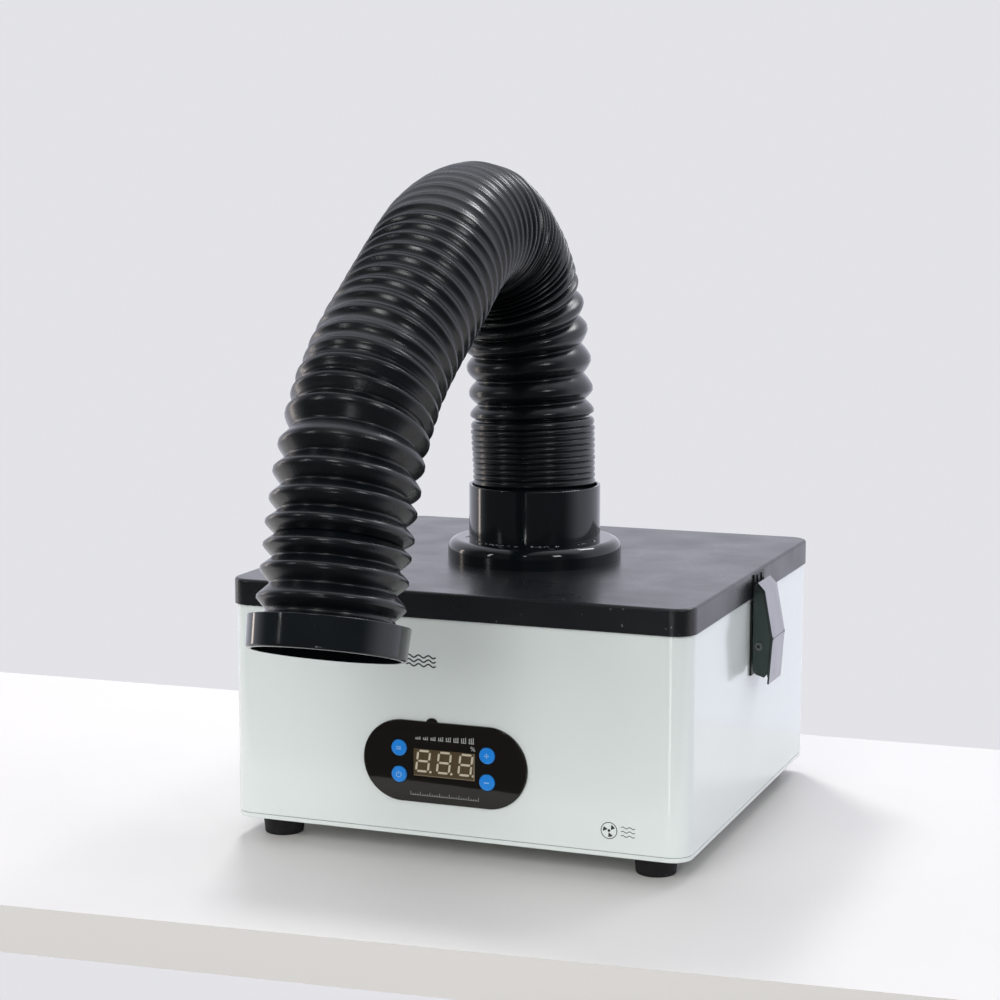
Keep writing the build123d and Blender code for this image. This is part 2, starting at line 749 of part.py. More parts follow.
# ---- latches: a catch on the lid rim, a base on the shell, a hidden link and a bent cover ----
# In each profile the first number is the distance out from the shell's side, the second is z.
link_pivot = (7.5, 118.5)
cover_pivot = (6.0, 110.5)
pin_radius = 1.5
bore_gap = 0.05
plate = 1.2
knee = (14.4, 115.4)
cover_outside = [(4.9, 148.5), (9.2, 143.9), knee, (12.4, 88.0)]
cover_inside = [(11.3, 88.0), (13.2, 115.3), (8.1, 143.4), (4.1, 147.7)]
cheek_profile = [
    (2.2, 146.6),
    (4.6, 147.8),
    (8.6, 143.7),
    (13.4, 115.4),
    (12.1, 95.0),
    (9.4, 91.8),
    (4.2, 93.4),
    (2.4, 96.0),
]
claw_profile = [(3.2, 146.0), (6.2, 146.0), (5.0, 147.2), (3.2, 147.2)]
base_profile = [(0, 92), (plate, 92), (plate, 136), (0, 136)]
ear_profile = [(0.8, 114.9), (7.5, 115.3), (7.5, 121.7), (0.8, 122.4)]
link_profile = [(4.35, 119.1), (12.02, 117.65), (10.52, 109.65), (2.85, 111.1)]
link_web = [(11.05, 117.8), (12.02, 117.65), (10.52, 109.65), (9.55, 109.8)]
catch_profile = [(1.1, 141.0), (2.1, 141.0), (2.1, 152.6), (1.1, 152.6)]
ledge_profile = [(1.6, 144.5), (5.2, 144.5), (5.2, 145.7), (1.6, 145.7)]

# Half widths, from the cover inwards: base strip, link cheeks, base ears, and the catch.
base_half = 12.5
link_half = 11.8
ear_half = link_half - plate - 0.5
catch_half = 11.5
pivot_half = link_half + 0.1
eye_radius = 3.2
pivot_head_radius = 2.2
pivot_head = 0.7
pin_head_radius = 2.6
pin_head = 0.9
pin_dimple = (0.9, 1.5)


def on_side(side, points):
    """Points of a latch profile as X and Z on the left (-1) or right (1) of the case."""
    return [(side * (side_x + out), z) for out, z in points]


def latch_plane(offset_y):
    """An XZ plane at a distance from the latch's middle; its sketches extrude towards -Y."""
    return Plane.XZ.offset(-latch_y - offset_y)


for side_name, side in (("left", -1), ("right", 1)):
    link_spot = on_side(side, [link_pivot])
    cover_spot = on_side(side, [cover_pivot])

    with BuildPart() as latch_base:
        with BuildSketch(latch_plane(base_half)):
            Polygon(*on_side(side, base_profile), align=None)
        extrude(amount=2 * base_half)
        for ear_y in (-ear_half + plate, ear_half):
            with BuildSketch(latch_plane(ear_y)):
                Polygon(*on_side(side, ear_profile), align=None)
                with Locations(*link_spot):
                    Circle(eye_radius)
            extrude(amount=plate)
        with BuildSketch(latch_plane(latch_width / 2)):
            with Locations(*link_spot):
                Circle(pin_radius)
        extrude(amount=latch_width, mode=Mode.SUBTRACT)
        with BuildSketch(Plane.YZ.offset(side * side_x - 4)):
            with Locations(*rivet_spots):
                Circle(rivet_radius)
        extrude(amount=8, mode=Mode.SUBTRACT)
    save(latch_base, f"latch_base_{side_name}")

    with BuildPart() as latch_link:
        for cheek_y in (-link_half + plate, link_half):
            with BuildSketch(latch_plane(cheek_y)):
                Polygon(*on_side(side, link_profile), align=None)
                with Locations(*link_spot, *cover_spot):
                    Circle(eye_radius)
            extrude(amount=plate)
        with BuildSketch(latch_plane(link_half - plate)):
            Polygon(*on_side(side, link_web), align=None)
        extrude(amount=2 * (link_half - plate))
        with BuildSketch(latch_plane(latch_width / 2)):
            with Locations(*link_spot, *cover_spot):
                Circle(pin_radius + bore_gap)
        extrude(amount=latch_width, mode=Mode.SUBTRACT)
    save(latch_link, f"latch_link_{side_name}")

    with BuildPart() as latch_cover:
        with BuildSketch(latch_plane(latch_width / 2)):
            Polygon(*on_side(side, cover_outside + cover_inside), align=None)
        extrude(amount=latch_width)
        for cheek_y in (-latch_width / 2 + plate, latch_width / 2):
            with BuildSketch(latch_plane(cheek_y)):
                Polygon(*on_side(side, cheek_profile), align=None)
            extrude(amount=plate)
        with BuildSketch(latch_plane(latch_width / 2 - 0.6)):
            Polygon(*on_side(side, claw_profile), align=None)
        extrude(amount=latch_width - 1.2)
        with BuildSketch(latch_plane(latch_width / 2 + 1)):
            with Locations(*cover_spot):
                Circle(pin_radius)
        extrude(amount=latch_width + 2, mode=Mode.SUBTRACT)
        for end_y in (-latch_width / 2 + 0.7, latch_width / 2 + 0.5):
            with BuildSketch(latch_plane(end_y)):
                with Locations(*on_side(side, [knee])):
                    Circle(0.9)
            extrude(amount=1.2, mode=Mode.SUBTRACT)
    save(latch_cover, f"latch_cover_{side_name}")

    with BuildPart() as cover_pin:
        with BuildSketch(latch_plane(latch_width / 2 + pin_head)):
            with Locations(*cover_spot):
                Circle(pin_head_radius)
        extrude(amount=pin_head)
        with BuildSketch(latch_plane(-latch_width / 2)):
            with Locations(*cover_spot):
                Circle(pin_head_radius)
        extrude(amount=pin_head)
        fillet(cover_pin.edges().filter_by(GeomType.CIRCLE).sort_by(Axis.Y)[0], 0.5)
        fillet(cover_pin.edges().filter_by(GeomType.CIRCLE).sort_by(Axis.Y)[-1], 0.5)
        with BuildSketch(latch_plane(latch_width / 2)):
            with Locations(*cover_spot):
                Circle(pin_radius)
        extrude(amount=latch_width)
        with BuildSketch(latch_plane(latch_width / 2 + pin_head)):
            with Locations(*cover_spot):
                Circle(pin_dimple[0])
        extrude(amount=pin_dimple[1], mode=Mode.SUBTRACT)
        with BuildSketch(latch_plane(pin_dimple[1] - pin_head - latch_width / 2)):
            with Locations(*cover_spot):
                Circle(pin_dimple[0])
        extrude(amount=pin_dimple[1], mode=Mode.SUBTRACT)
    save(cover_pin, f"latch_cover_pin_{side_name}")

    with BuildPart() as lid_catch:
        with BuildSketch(latch_plane(catch_half)):
            Polygon(*on_side(side, catch_profile), align=None)
        extrude(amount=2 * catch_half)
        with BuildSketch(latch_plane(catch_half - 1)):
            Polygon(*on_side(side, ledge_profile), align=None)
        extrude(amount=2 * (catch_half - 1))
        with BuildSketch(Plane.YZ.offset(side * side_x - 4)):
            with Locations(*catch_spots):
                Circle(catch_rivet_radius)
        extrude(amount=8, mode=Mode.SUBTRACT)
    save(lid_catch, f"lid_catch_{side_name}")

with BuildPart() as latch_pivots:
    for side in (-1, 1):
        with BuildSketch(latch_plane(pivot_half + pivot_head)):
            with Locations(*on_side(side, [link_pivot])):
                Circle(pivot_head_radius)
        extrude(amount=pivot_head)
        with BuildSketch(latch_plane(-pivot_half)):
            with Locations(*on_side(side, [link_pivot])):
                Circle(pivot_head_radius)
        extrude(amount=pivot_head)
        with BuildSketch(latch_plane(pivot_half)):
            with Locations(*on_side(side, [link_pivot])):
                Circle(pin_radius)
        extrude(amount=2 * pivot_half)
save(latch_pivots, "latch_pivots")

# A latch rivet is an upset end inside the shell, a shank and a head; a catch rivet ends flush.
with BuildPart() as latch_rivets:
    for side in (-1, 1):
        for start, length, radius in ((-2.0, 1.0, 2.6), (-1.0, 2.2, 1.6), (1.2, 1.0, 3.0)):
            with BuildSketch(Plane.YZ.offset(side * (side_x + start))):
                with Locations(*rivet_spots):
                    Circle(radius)
            extrude(amount=side * length)
save(latch_rivets, "latch_rivets")

with BuildPart() as catch_rivets:
    for side in (-1, 1):
        for start, length, radius in ((0.3, 1.8, 1.3), (2.1, 0.8, 2.0)):
            with BuildSketch(Plane.YZ.offset(side * (side_x + start))):
                with Locations(*catch_spots):
                    Circle(radius)
            extrude(amount=side * length)
save(catch_rivets, "catch_rivets")

# ---- duct arm: a thin tube along the route, cut into the stretches that turn as one ----


def corner_radii(route):
    """Arc radii at the inner points: 0.45 of the shorter run over the tangent of half the turn."""
    radii = []
    for before, corner, after in zip(route, route[1:], route[2:]):
        run_in = Vector(*corner) - Vector(*before)
        run_out = Vector(*after) - Vector(*corner)
        half_turn = radians(run_in.get_angle(run_out)) / 2
        radii.append(0.45 * min(run_in.length, run_out.length) / tan(half_turn))
    return radii


hose_radii = corner_radii(hose_route)
print("duct arc radii", [round(r) for r in hose_radii])
# Planes across the duct, each with its normal along the duct towards the nozzle.
riser_end = Plane((-14, -50, 353), z_dir=(0, -0.93, 0.37))
arch_end = Plane((-11, -100, 352), z_dir=(0.06, -0.96, -0.28))
neck_start = Plane((-11, -253, 222), z_dir=(0, -0.40, -0.92))
nozzle_way = Vector(*hose_route[-1]) - Vector(*hose_route[-2])
nozzle_top = Plane(hose_route[-1], z_dir=nozzle_way)
nozzle_height = 17.0
nozzle_lip = 4.0
cuff_reach = 3.0
riser_start = Plane((0, 0, collar_top + 0.3))

with BuildPart() as duct:
    with BuildLine() as duct_line:
        FilletPolyline(*hose_route, radius=hose_radii)
    with BuildSketch(Plane(duct_line.line @ 0, z_dir=duct_line.line % 0)):
        Circle(hose_radius)
        Circle(hose_radius - hose_wall, mode=Mode.SUBTRACT)
    sweep()
print("duct length", round(sum(edge.length for edge in duct_line.edges())))

duct_spans = {
    "hose_riser": (riser_start, riser_end),
    "hose_arch": (riser_end, arch_end),
    "hose_drop": (arch_end, neck_start),
    "hose_neck": (neck_start, nozzle_top.offset(-cuff_reach)),
}
for span_name, (span_start, span_end) in duct_spans.items():
    with BuildPart() as span:
        add(duct.part)
        split(bisect_by=span_end, keep=Keep.BOTTOM)
        split(bisect_by=span_start, keep=Keep.TOP)
    save(span, span_name)

with BuildPart() as hose_cuff:
    with BuildSketch(Plane.XY.offset(160)):
        Circle(collar_bore - 0.3)
        Circle(collar_bore - 2.3, mode=Mode.SUBTRACT)
    extrude(amount=collar_top + 0.3 - 160)
save(hose_cuff, "hose_cuff")

with BuildPart() as nozzle_cuff:
    with BuildSketch(nozzle_top.offset(-cuff_reach)):
        Circle(hose_radius - hose_wall)
        Circle(hose_radius - hose_wall - 2, mode=Mode.SUBTRACT)
    extrude(amount=cuff_reach + nozzle_lip)
save(nozzle_cuff, "nozzle_cuff")

nozzle_bore = 38.2
with BuildPart() as nozzle_ring:
    with BuildSketch(nozzle_top):
        Circle(41.8)
    with BuildSketch(nozzle_top.offset(nozzle_height)):
        Circle(41.0)
    loft()
    rims = nozzle_ring.edges().filter_by(GeomType.CIRCLE).sort_by(Axis.Z)
    fillet(rims[0], 1.4)
    fillet(rims[-1], 0.4)
    with BuildSketch(nozzle_top):
        Circle(hose_radius - hose_wall)
    extrude(amount=nozzle_height, mode=Mode.SUBTRACT)
    with BuildSketch(nozzle_top.offset(nozzle_lip)):
        Circle(nozzle_bore)
    extrude(amount=nozzle_height, mode=Mode.SUBTRACT)
save(nozzle_ring, "nozzle_ring")
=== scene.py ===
import math
import random

import bmesh
import bpy
from mathutils import Matrix, Vector


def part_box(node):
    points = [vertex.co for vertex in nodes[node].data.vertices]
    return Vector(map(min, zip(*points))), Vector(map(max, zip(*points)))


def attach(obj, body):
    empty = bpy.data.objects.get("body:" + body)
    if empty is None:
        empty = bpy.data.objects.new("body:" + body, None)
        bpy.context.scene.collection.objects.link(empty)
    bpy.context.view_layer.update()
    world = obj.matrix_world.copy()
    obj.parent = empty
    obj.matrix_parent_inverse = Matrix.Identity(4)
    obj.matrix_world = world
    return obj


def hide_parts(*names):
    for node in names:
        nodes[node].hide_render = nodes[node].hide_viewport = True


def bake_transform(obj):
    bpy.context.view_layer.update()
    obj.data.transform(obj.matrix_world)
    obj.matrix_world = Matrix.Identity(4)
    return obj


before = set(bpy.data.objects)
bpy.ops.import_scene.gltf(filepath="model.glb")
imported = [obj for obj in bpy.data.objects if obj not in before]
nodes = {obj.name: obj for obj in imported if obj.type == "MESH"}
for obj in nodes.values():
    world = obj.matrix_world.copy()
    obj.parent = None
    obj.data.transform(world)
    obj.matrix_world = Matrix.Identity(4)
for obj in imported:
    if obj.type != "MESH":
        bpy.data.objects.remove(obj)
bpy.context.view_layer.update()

# Looks for the bench-top fume extractor: the corrugated duct arm, the control panel's printing,
# small details, the materials of every part, and a plain studio. Lengths are metres, apart from
# the measures of the duct's folds and of the small details, which are mm until scaled by MM.
MM = 0.001


# ---------------------------------------------------------------- helpers


def linear(red, green, blue):
    """A display colour from 0 to 255 as the linear colour that shaders take."""
    return tuple((c / 255) ** 2.2 for c in (red, green, blue))


def new_mesh(name, points, faces, material):
    """A smooth-shaded mesh piece, not yet riding on a body."""
    mesh = bpy.data.meshes.new(name)
    mesh.from_pydata(points, [], faces)
    mesh.validate()
    mesh.polygons.foreach_set("use_smooth", [True] * len(mesh.polygons))
    mesh.materials.append(material)
    piece = bpy.data.objects.new(name, mesh)
    bpy.context.scene.collection.objects.link(piece)
    return piece


def mix(low, high, share):
    return low + (high - low) * share


def clamp(value):
    return min(max(value, 0), 1)


# ---------------------------------------------------------------- materials


def rgba(colour, factor=1.0):
    return (*[min(1.0, c * factor) for c in colour], 1.0)


def map_range(tree, value, low, high, out_low, out_high):
    """A node that takes value from low..high to out_low..out_high."""
    node = tree.nodes.new("ShaderNodeMapRange")
    for socket, number in zip(node.inputs[1:5], (low, high, out_low, out_high)):
        socket.default_value = number
    tree.links.new(value, node.inputs[0])
    return node


def mix_colours(tree, share, first, second):
    """The colour between two others, which are fixed colours or output sockets."""
    node = tree.nodes.new("ShaderNodeMix")
    node.data_type = "RGBA"
    tree.links.new(share, node.inputs["Factor"])
    for socket, value in ((node.inputs["A"], first), (node.inputs["B"], second)):
        if isinstance(value, tuple):
            socket.default_value = value
        else:
            tree.links.new(value, socket)
    return node.outputs["Result"]


def surface(
    name,
    colour,
    roughness,
    metallic=0.0,
    ior=1.5,
    coat=0.0,
    coat_roughness=0.05,
    tone=0.06,
    tone_size=40.0,
    smudge=0.05,
    smudge_size=30.0,
    grain=0.05,
    grain_size=1200.0,
    stretch=(1, 1, 1),
    wave=0.0,
    wave_size=90.0,
    speck=0.0,
    speck_size=260.0,
    speck_colour=(0.5, 0.5, 0.5),
    transmission=0.0,
    sheen=0.0,
):
    """A surface in object space: uneven tone, smudged gloss, fine grain, slow waves and specks."""
    material = bpy.data.materials.new(name)
    material.use_nodes = True
    tree = material.node_tree
    bsdf = tree.nodes["Principled BSDF"]
    bsdf.inputs["Metallic"].default_value = metallic
    bsdf.inputs["IOR"].default_value = ior
    bsdf.inputs["Coat Weight"].default_value = coat
    bsdf.inputs["Coat Roughness"].default_value = coat_roughness
    bsdf.inputs["Transmission Weight"].default_value = transmission
    bsdf.inputs["Sheen Weight"].default_value = sheen
    place = tree.nodes.new("ShaderNodeTexCoord")
    scale = tree.nodes.new("ShaderNodeMapping")
    scale.inputs["Scale"].default_value = stretch
    tree.links.new(place.outputs["Object"], scale.inputs["Vector"])

    def noise(size, detail):
        node = tree.nodes.new("ShaderNodeTexNoise")
        node.inputs["Scale"].default_value = size
        node.inputs["Detail"].default_value = detail
        tree.links.new(scale.outputs["Vector"], node.inputs["Vector"])
        return node.outputs["Fac"]

    def ramp(value, *limits):
        return map_range(tree, value, *limits).outputs[0]

    patches = ramp(noise(tone_size, 4), 0.3, 0.7, 0, 1)
    toned = mix_colours(tree, patches, rgba(colour, 1 - tone), rgba(colour, 1 + tone))
    if speck:
        dots = tree.nodes.new("ShaderNodeTexVoronoi")
        dots.inputs["Scale"].default_value = speck_size
        tree.links.new(scale.outputs["Vector"], dots.inputs["Vector"])
        few = ramp(noise(speck_size * 0.3, 1), 0.5, 0.62, 0, speck)
        near = ramp(dots.outputs["Distance"], 0.05, 0.12, 1, 0)
        both = tree.nodes.new("ShaderNodeMath")
        both.operation = "MULTIPLY"
        tree.links.new(few, both.inputs[0])
        tree.links.new(near, both.inputs[1])
        toned = mix_colours(tree, both.outputs[0], toned, rgba(speck_colour))
    tree.links.new(toned, bsdf.inputs["Base Color"])
    gloss = ramp(noise(smudge_size, 3), 0.3, 0.7, max(0.01, roughness - smudge), roughness + smudge)
    tree.links.new(gloss, bsdf.inputs["Roughness"])
    fine = tree.nodes.new("ShaderNodeBump")
    fine.inputs["Strength"].default_value = grain
    fine.inputs["Distance"].default_value = 0.1 * MM
    tree.links.new(noise(grain_size, 2), fine.inputs["Height"])
    normal = fine.outputs["Normal"]
    if wave:
        slow = tree.nodes.new("ShaderNodeBump")
        slow.inputs["Strength"].default_value = wave
        slow.inputs["Distance"].default_value = 1.0 * MM
        tree.links.new(noise(wave_size, 1), slow.inputs["Height"])
        tree.links.new(fine.outputs["Normal"], slow.inputs["Normal"])
        normal = slow.outputs["Normal"]
    tree.links.new(normal, bsdf.inputs["Normal"])
    return material


paint_white = surface(
    "gloss_white_powder_coat", linear(232, 239, 236), 0.16, tone=0.012, tone_size=9,
    smudge=0.03, coat=0.35, coat_roughness=0.06, grain=0.05, grain_size=1500, wave=0.02,
    wave_size=160,
)
lid_paint = surface(
    "satin_black_powder_coat", linear(30, 31, 33), 0.3, tone=0.12, smudge=0.04,
    grain=0.12, grain_size=2200, speck=0.5, speck_size=210,
)
pvc_gloss = surface(
    "gloss_black_pvc", linear(22, 26, 28), 0.09, tone=0.12, tone_size=60, smudge=0.03,
    smudge_size=45, grain=0.02, grain_size=900, wave=0.02, wave_size=60, speck=0.05, speck_size=420,
)
hose_plastic = surface(
    "ribbed_hose_black", linear(19, 22, 24), 0.25, tone=0.18, tone_size=45, smudge=0.05,
    smudge_size=60, grain=0.06, grain_size=1600, wave=0.05, wave_size=120,
)
foot_rubber = surface(
    "matt_black_rubber", linear(24, 24, 25), 0.72, tone=0.15, grain=0.4, grain_size=2600,
    speck=0.3, speck_size=420,
)
latch_dark = surface(
    "dark_steel", linear(52, 56, 55), 0.42, metallic=0.85, tone=0.08, tone_size=220,
    grain=0.12, grain_size=2400,
)
rivet_metal = surface(
    "rivet_steel", linear(104, 107, 106), 0.28, metallic=1.0, tone=0.08, tone_size=300, grain=0.08,
)
film_gloss = surface(
    "gloss_black_film", linear(27, 24, 20), 0.035, tone=0.06, tone_size=90, smudge=0.015,
    grain=0.01, grain_size=700, wave=0.015, wave_size=70,
)
button_blue = surface(
    "gloss_blue_button", linear(36, 140, 236), 0.16, tone=0.05, tone_size=300, smudge=0.04,
    coat=0.4, coat_roughness=0.08, grain=0.06, grain_size=1900,
)
zinc = surface(
    "zinc_plated_steel", linear(176, 178, 178), 0.34, metallic=1.0, tone=0.08, tone_size=120,
    smudge=0.08, grain=0.1, grain_size=1500,
)
fibre_pad = surface(
    "white_fibre_pad", linear(226, 228, 226), 0.9, tone=0.1, tone_size=500, grain=0.9,
    grain_size=700, wave=0.25, wave_size=150, sheen=0.3,
)
filter_paper = surface(
    "pleated_filter_paper", linear(232, 230, 222), 0.8, tone=0.06, tone_size=200, grain=0.4,
    grain_size=1500,
)
board_frame = surface(
    "pressed_board", linear(176, 142, 100), 0.85, tone=0.12, tone_size=160, grain=0.4,
    grain_size=900,
)
carbon = surface(
    "carbon_foam", linear(30, 30, 31), 0.95, tone=0.4, tone_size=700, grain=1.0, grain_size=600,
)
moulded_black = surface(
    "moulded_black", linear(38, 38, 40), 0.45, tone=0.1, tone_size=80, grain=0.18, grain_size=1700,
)
rocker_gloss = surface(
    "rocker_black", linear(28, 28, 30), 0.22, tone=0.08, grain=0.05, grain_size=1400,
)
motor_metal = surface(
    "cast_aluminium", linear(168, 170, 172), 0.42, metallic=1.0, tone=0.08, tone_size=90,
    grain=0.3, grain_size=1300,
)
solder_mask = surface(
    "green_board", linear(18, 92, 52), 0.35, tone=0.1, tone_size=300, grain=0.1, grain_size=1100,
)
seal_foam = surface(
    "closed_cell_foam", linear(46, 46, 48), 0.9, tone=0.2, tone_size=500, grain=0.8, grain_size=900,
)
lead_jacket = surface(
    "lead_jacket", linear(34, 34, 36), 0.55, tone=0.1, tone_size=100, grain=0.2, grain_size=1500,
)
cement_clear = surface(
    "clear_cement", linear(215, 220, 222), 0.08, ior=1.46, tone=0.04, transmission=0.85, grain=0.05,
    wave=0.1, wave_size=400,
)
print_grey = surface(
    "grey_print", linear(168, 170, 168), 0.5, tone=0.08, tone_size=500, grain=0.1, grain_size=2500,
)
print_dark = surface(
    "dark_print", linear(46, 48, 48), 0.4, tone=0.08, tone_size=400, grain=0.1, grain_size=2500,
)
print_pale = surface(
    "pale_print", linear(150, 196, 240), 0.35, tone=0.05, tone_size=500, grain=0.08,
    grain_size=2500,
)
print_bronze = surface(
    "bronze_print", linear(128, 116, 96), 0.4, tone=0.08, tone_size=500, grain=0.1, grain_size=2500,
)
# painted shade: the near-black of the marks that stand for shade along the latch covers' folded
# edges, in their knee creases and notches, and in their pin bores
painted_shade_dark = surface(
    "painted_shade", linear(16, 17, 17), 0.5, tone=0.1, tone_size=400, grain=0.1, grain_size=2000,
)
segment_cream = surface(
    "cream_segment", linear(206, 196, 172), 0.45, tone=0.08, tone_size=700, grain=0.1,
    grain_size=2500,
)


def display_material():
    """The display's smoked face: a fine grid of dark dots on olive brown."""
    material = surface(
        "smoked_display", linear(98, 84, 62), 0.12, tone=0.05, tone_size=200, smudge=0.02,
        grain=0.02, grain_size=900,
    )
    tree = material.node_tree
    bsdf = tree.nodes["Principled BSDF"]
    base = bsdf.inputs["Base Color"].links[0].from_socket
    place = tree.nodes.new("ShaderNodeTexCoord")
    dots = tree.nodes.new("ShaderNodeTexVoronoi")
    dots.inputs["Scale"].default_value = 1150
    dots.inputs["Randomness"].default_value = 0.0
    tree.links.new(place.outputs["Object"], dots.inputs["Vector"])
    grid = map_range(tree, dots.outputs["Distance"], 0.25, 0.5, 1, 0)
    dotted = mix_colours(tree, grid.outputs[0], base, rgba(linear(66, 56, 42)))
    tree.links.new(dotted, bsdf.inputs["Base Color"])
    return material


smoked_display = display_material()


def cover_material():
    """Brushed plating on a latch cover's outside, with painted shade on its folded cheeks: faces
    that look along Y are darkened as a painted reflection of the dark room in front.
    """
    material = surface(
        "latch_cover_steel", linear(158, 157, 160), 0.32, metallic=1.0, tone=0.05, tone_size=220,
        smudge=0.05, smudge_size=120, grain=0.15, grain_size=2400, stretch=(1, 1, 0.2),
    )
    tree = material.node_tree
    bsdf = tree.nodes["Principled BSDF"]
    base = bsdf.inputs["Base Color"].links[0].from_socket
    place = tree.nodes.new("ShaderNodeTexCoord")
    parts = tree.nodes.new("ShaderNodeSeparateXYZ")
    tree.links.new(place.outputs["Normal"], parts.inputs[0])
    sideways = tree.nodes.new("ShaderNodeMath")
    sideways.operation = "ABSOLUTE"
    tree.links.new(parts.outputs["Y"], sideways.inputs[0])
    # painted shade: the more a face looks along Y, the darker it is made, standing in for the dark
    # room that the cheeks reflect
    cheek_painted_shade = map_range(tree, sideways.outputs[0], 0.6, 0.9, 0, 1)
    darker = mix_colours(tree, cheek_painted_shade.outputs[0], base, rgba(linear(72, 80, 78)))
    tree.links.new(darker, bsdf.inputs["Base Color"])
    return material


latch_plating = cover_material()

NODE_MATERIALS = {
    paint_white: ("base_pan", "body_shell"),
    lid_paint: ("lid_pan",),
    pvc_gloss: ("inlet_flange", "inlet_collar", "nozzle_ring"),
    foot_rubber: ("foot_front_left", "foot_front_right", "foot_rear_left", "foot_rear_right"),
    latch_plating: ("latch_cover_left", "latch_cover_right"),
    latch_dark: (
        "latch_base_left", "latch_base_right", "latch_link_left", "latch_link_right",
        "lid_catch_left", "lid_catch_right", "catch_rivets",
    ),
    rivet_metal: (
        "latch_cover_pin_left", "latch_cover_pin_right", "latch_pivots", "latch_rivets",
    ),
    film_gloss: ("control_fascia",),
    smoked_display: ("display_module",),
    button_blue: ("button_mode", "button_on_off", "button_plus", "button_minus"),
    zinc: (
        "base_screws", "foot_screws", "blower_screws", "flange_screws", "filter_shelf",
        "motor_shaft",
    ),
    fibre_pad: ("prefilter",),
    filter_paper: ("hepa_pleats",),
    board_frame: ("hepa_frame",),
    carbon: ("carbon_filter",),
    moulded_black: (
        "blower_scroll", "blower_cover", "impeller", "exhaust_grille", "mains_inlet",
        "rocker_frame", "key_switches",
    ),
    rocker_gloss: ("power_rocker",),
    motor_metal: ("motor", "power_supply"),
    solder_mask: ("control_board",),
    seal_foam: ("blower_gasket", "lid_gasket"),
    lead_jacket: ("mains_lead", "control_lead"),
}
for material, names in NODE_MATERIALS.items():
    for name in names:
        nodes[name].data.materials.clear()
        nodes[name].data.materials.append(material)

# ---------------------------------------------------------------- duct arm

# The route's corners, mm, as the CAD solid has them. The smooth line near them is the hose's own.
HOSE_ROUTE = [
    (0, 0, 176),
    (-2, 4, 240),
    (-8, 0, 310),
    (-15, -40, 358),
    (-10, -111, 353),
    (-6, -167, 322),
    (-11, -222, 280),
    (-11, -255, 225),
    (-10, -274, 162),
]
SEGMENTS = 96
HOSE_WALL = 1.3 * MM
COLLAR_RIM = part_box("inlet_collar")[1].z
FOOT_RADIUS = 37.0
NECK_RADIUS = 33.8
CUFF_RADIUS = 35.9
CUFF_REACH = 3.8


def smooth_line(route):
    """Evenly spaced points of the NURBS line that has the route's corners as control points."""
    curve = bpy.data.curves.new("route", "CURVE")
    curve.dimensions = "3D"
    spline = curve.splines.new("NURBS")
    spline.points.add(len(route) - 1)
    for point, corner in zip(spline.points, route):
        point.co = (*[c * MM for c in corner], 1)
    spline.order_u = 3
    spline.use_endpoint_u = True
    spline.resolution_u = 40
    holder = bpy.data.objects.new("route", curve)
    mesh = bpy.data.meshes.new_from_object(holder)
    points = [v.co.copy() for v in mesh.vertices]
    bpy.data.objects.remove(holder)
    bpy.data.curves.remove(curve)
    bpy.data.meshes.remove(mesh)
    return points


class DuctLine:
    """The duct's centreline by arc length, with a frame that doesn't twist and its bend."""

    STEP = 1.0 * MM
    REACH = 6

    def __init__(self, points):
        lengths = [0.0]
        for before, after in zip(points, points[1:]):
            lengths.append(lengths[-1] + (after - before).length)
        self.length = lengths[-1]
        count = int(self.length / self.STEP)
        self.points = []
        span = 0
        for i in range(count + 1):
            s = self.length * i / count
            while span < len(points) - 2 and lengths[span + 1] < s:
                span += 1
            share = (s - lengths[span]) / (lengths[span + 1] - lengths[span])
            self.points.append(points[span].lerp(points[span + 1], share))
        self.count = count
        tangents = [
            (self.points[min(i + 1, count)] - self.points[max(i - 1, 0)]).normalized()
            for i in range(count + 1)
        ]
        # a moving average takes the small kinks of the sampled line out of the bend
        self.tangents = []
        for i in range(count + 1):
            near = tangents[max(0, i - self.REACH) : i + self.REACH + 1]
            self.tangents.append(sum(near, Vector()).normalized())
        side = Vector((1, 0, 0))
        self.sides = []
        for tangent in self.tangents:
            side = (side - tangent * side.dot(tangent)).normalized()
            self.sides.append(side)
        self.bends = []
        for i in range(count + 1):
            a, b = max(0, i - self.REACH), min(count, i + self.REACH)
            turned = self.tangents[b] - self.tangents[a]
            self.bends.append(turned / ((b - a) * self.length / count))

    def at(self, s):
        """Point, tangent, side vector and bend vector at arc length s."""
        t = clamp(s / self.length) * self.count
        i = min(int(t), self.count - 1)
        share = t - i
        return [
            row[i].lerp(row[i + 1], share)
            for row in (self.points, self.tangents, self.sides, self.bends)
        ]


duct = DuctLine(smooth_line(HOSE_ROUTE))
rim_s = COLLAR_RIM - HOSE_ROUTE[0][2] * MM

# Ridge spacings in mm. Up from the collar's rim: closed folds, open bulges, packed folds.
FIRST_RIDGE = 1.4
CLOSED_FOLDS = [3.5] * 10
OPEN_BULGES = [7.0, 13.5, 17.0, 16.5, 14.5, 12.0]
PACKED_FOLDS = [7.5, 5.0, 4.6, 4.8, 4.6, 4.8, 5.0, 5.0, 5.2, 5.4, 5.8, 6.2, 6.8, 7.6]
# Up from the nozzle: distances of the open ridges, the first above the ring's face.
NOZZLE_RIDGES = [9.5, 23.5, 36.0, 46.5, 59.5, 72.5, 86.5, 101.5, 112.0]
BAND_SPACING = 9.3

ridges = []
s = rim_s + FIRST_RIDGE * MM
for spacing in CLOSED_FOLDS + OPEN_BULGES + PACKED_FOLDS:
    ridges.append(s)
    s += spacing * MM
open_ridges = sorted(duct.length - distance * MM for distance in NOZZLE_RIDGES)
gap = open_ridges[0] - s
band_count = round(gap / (BAND_SPACING * MM))
ridges += [s + gap * i / band_count for i in range(band_count)]
ridges += open_ridges

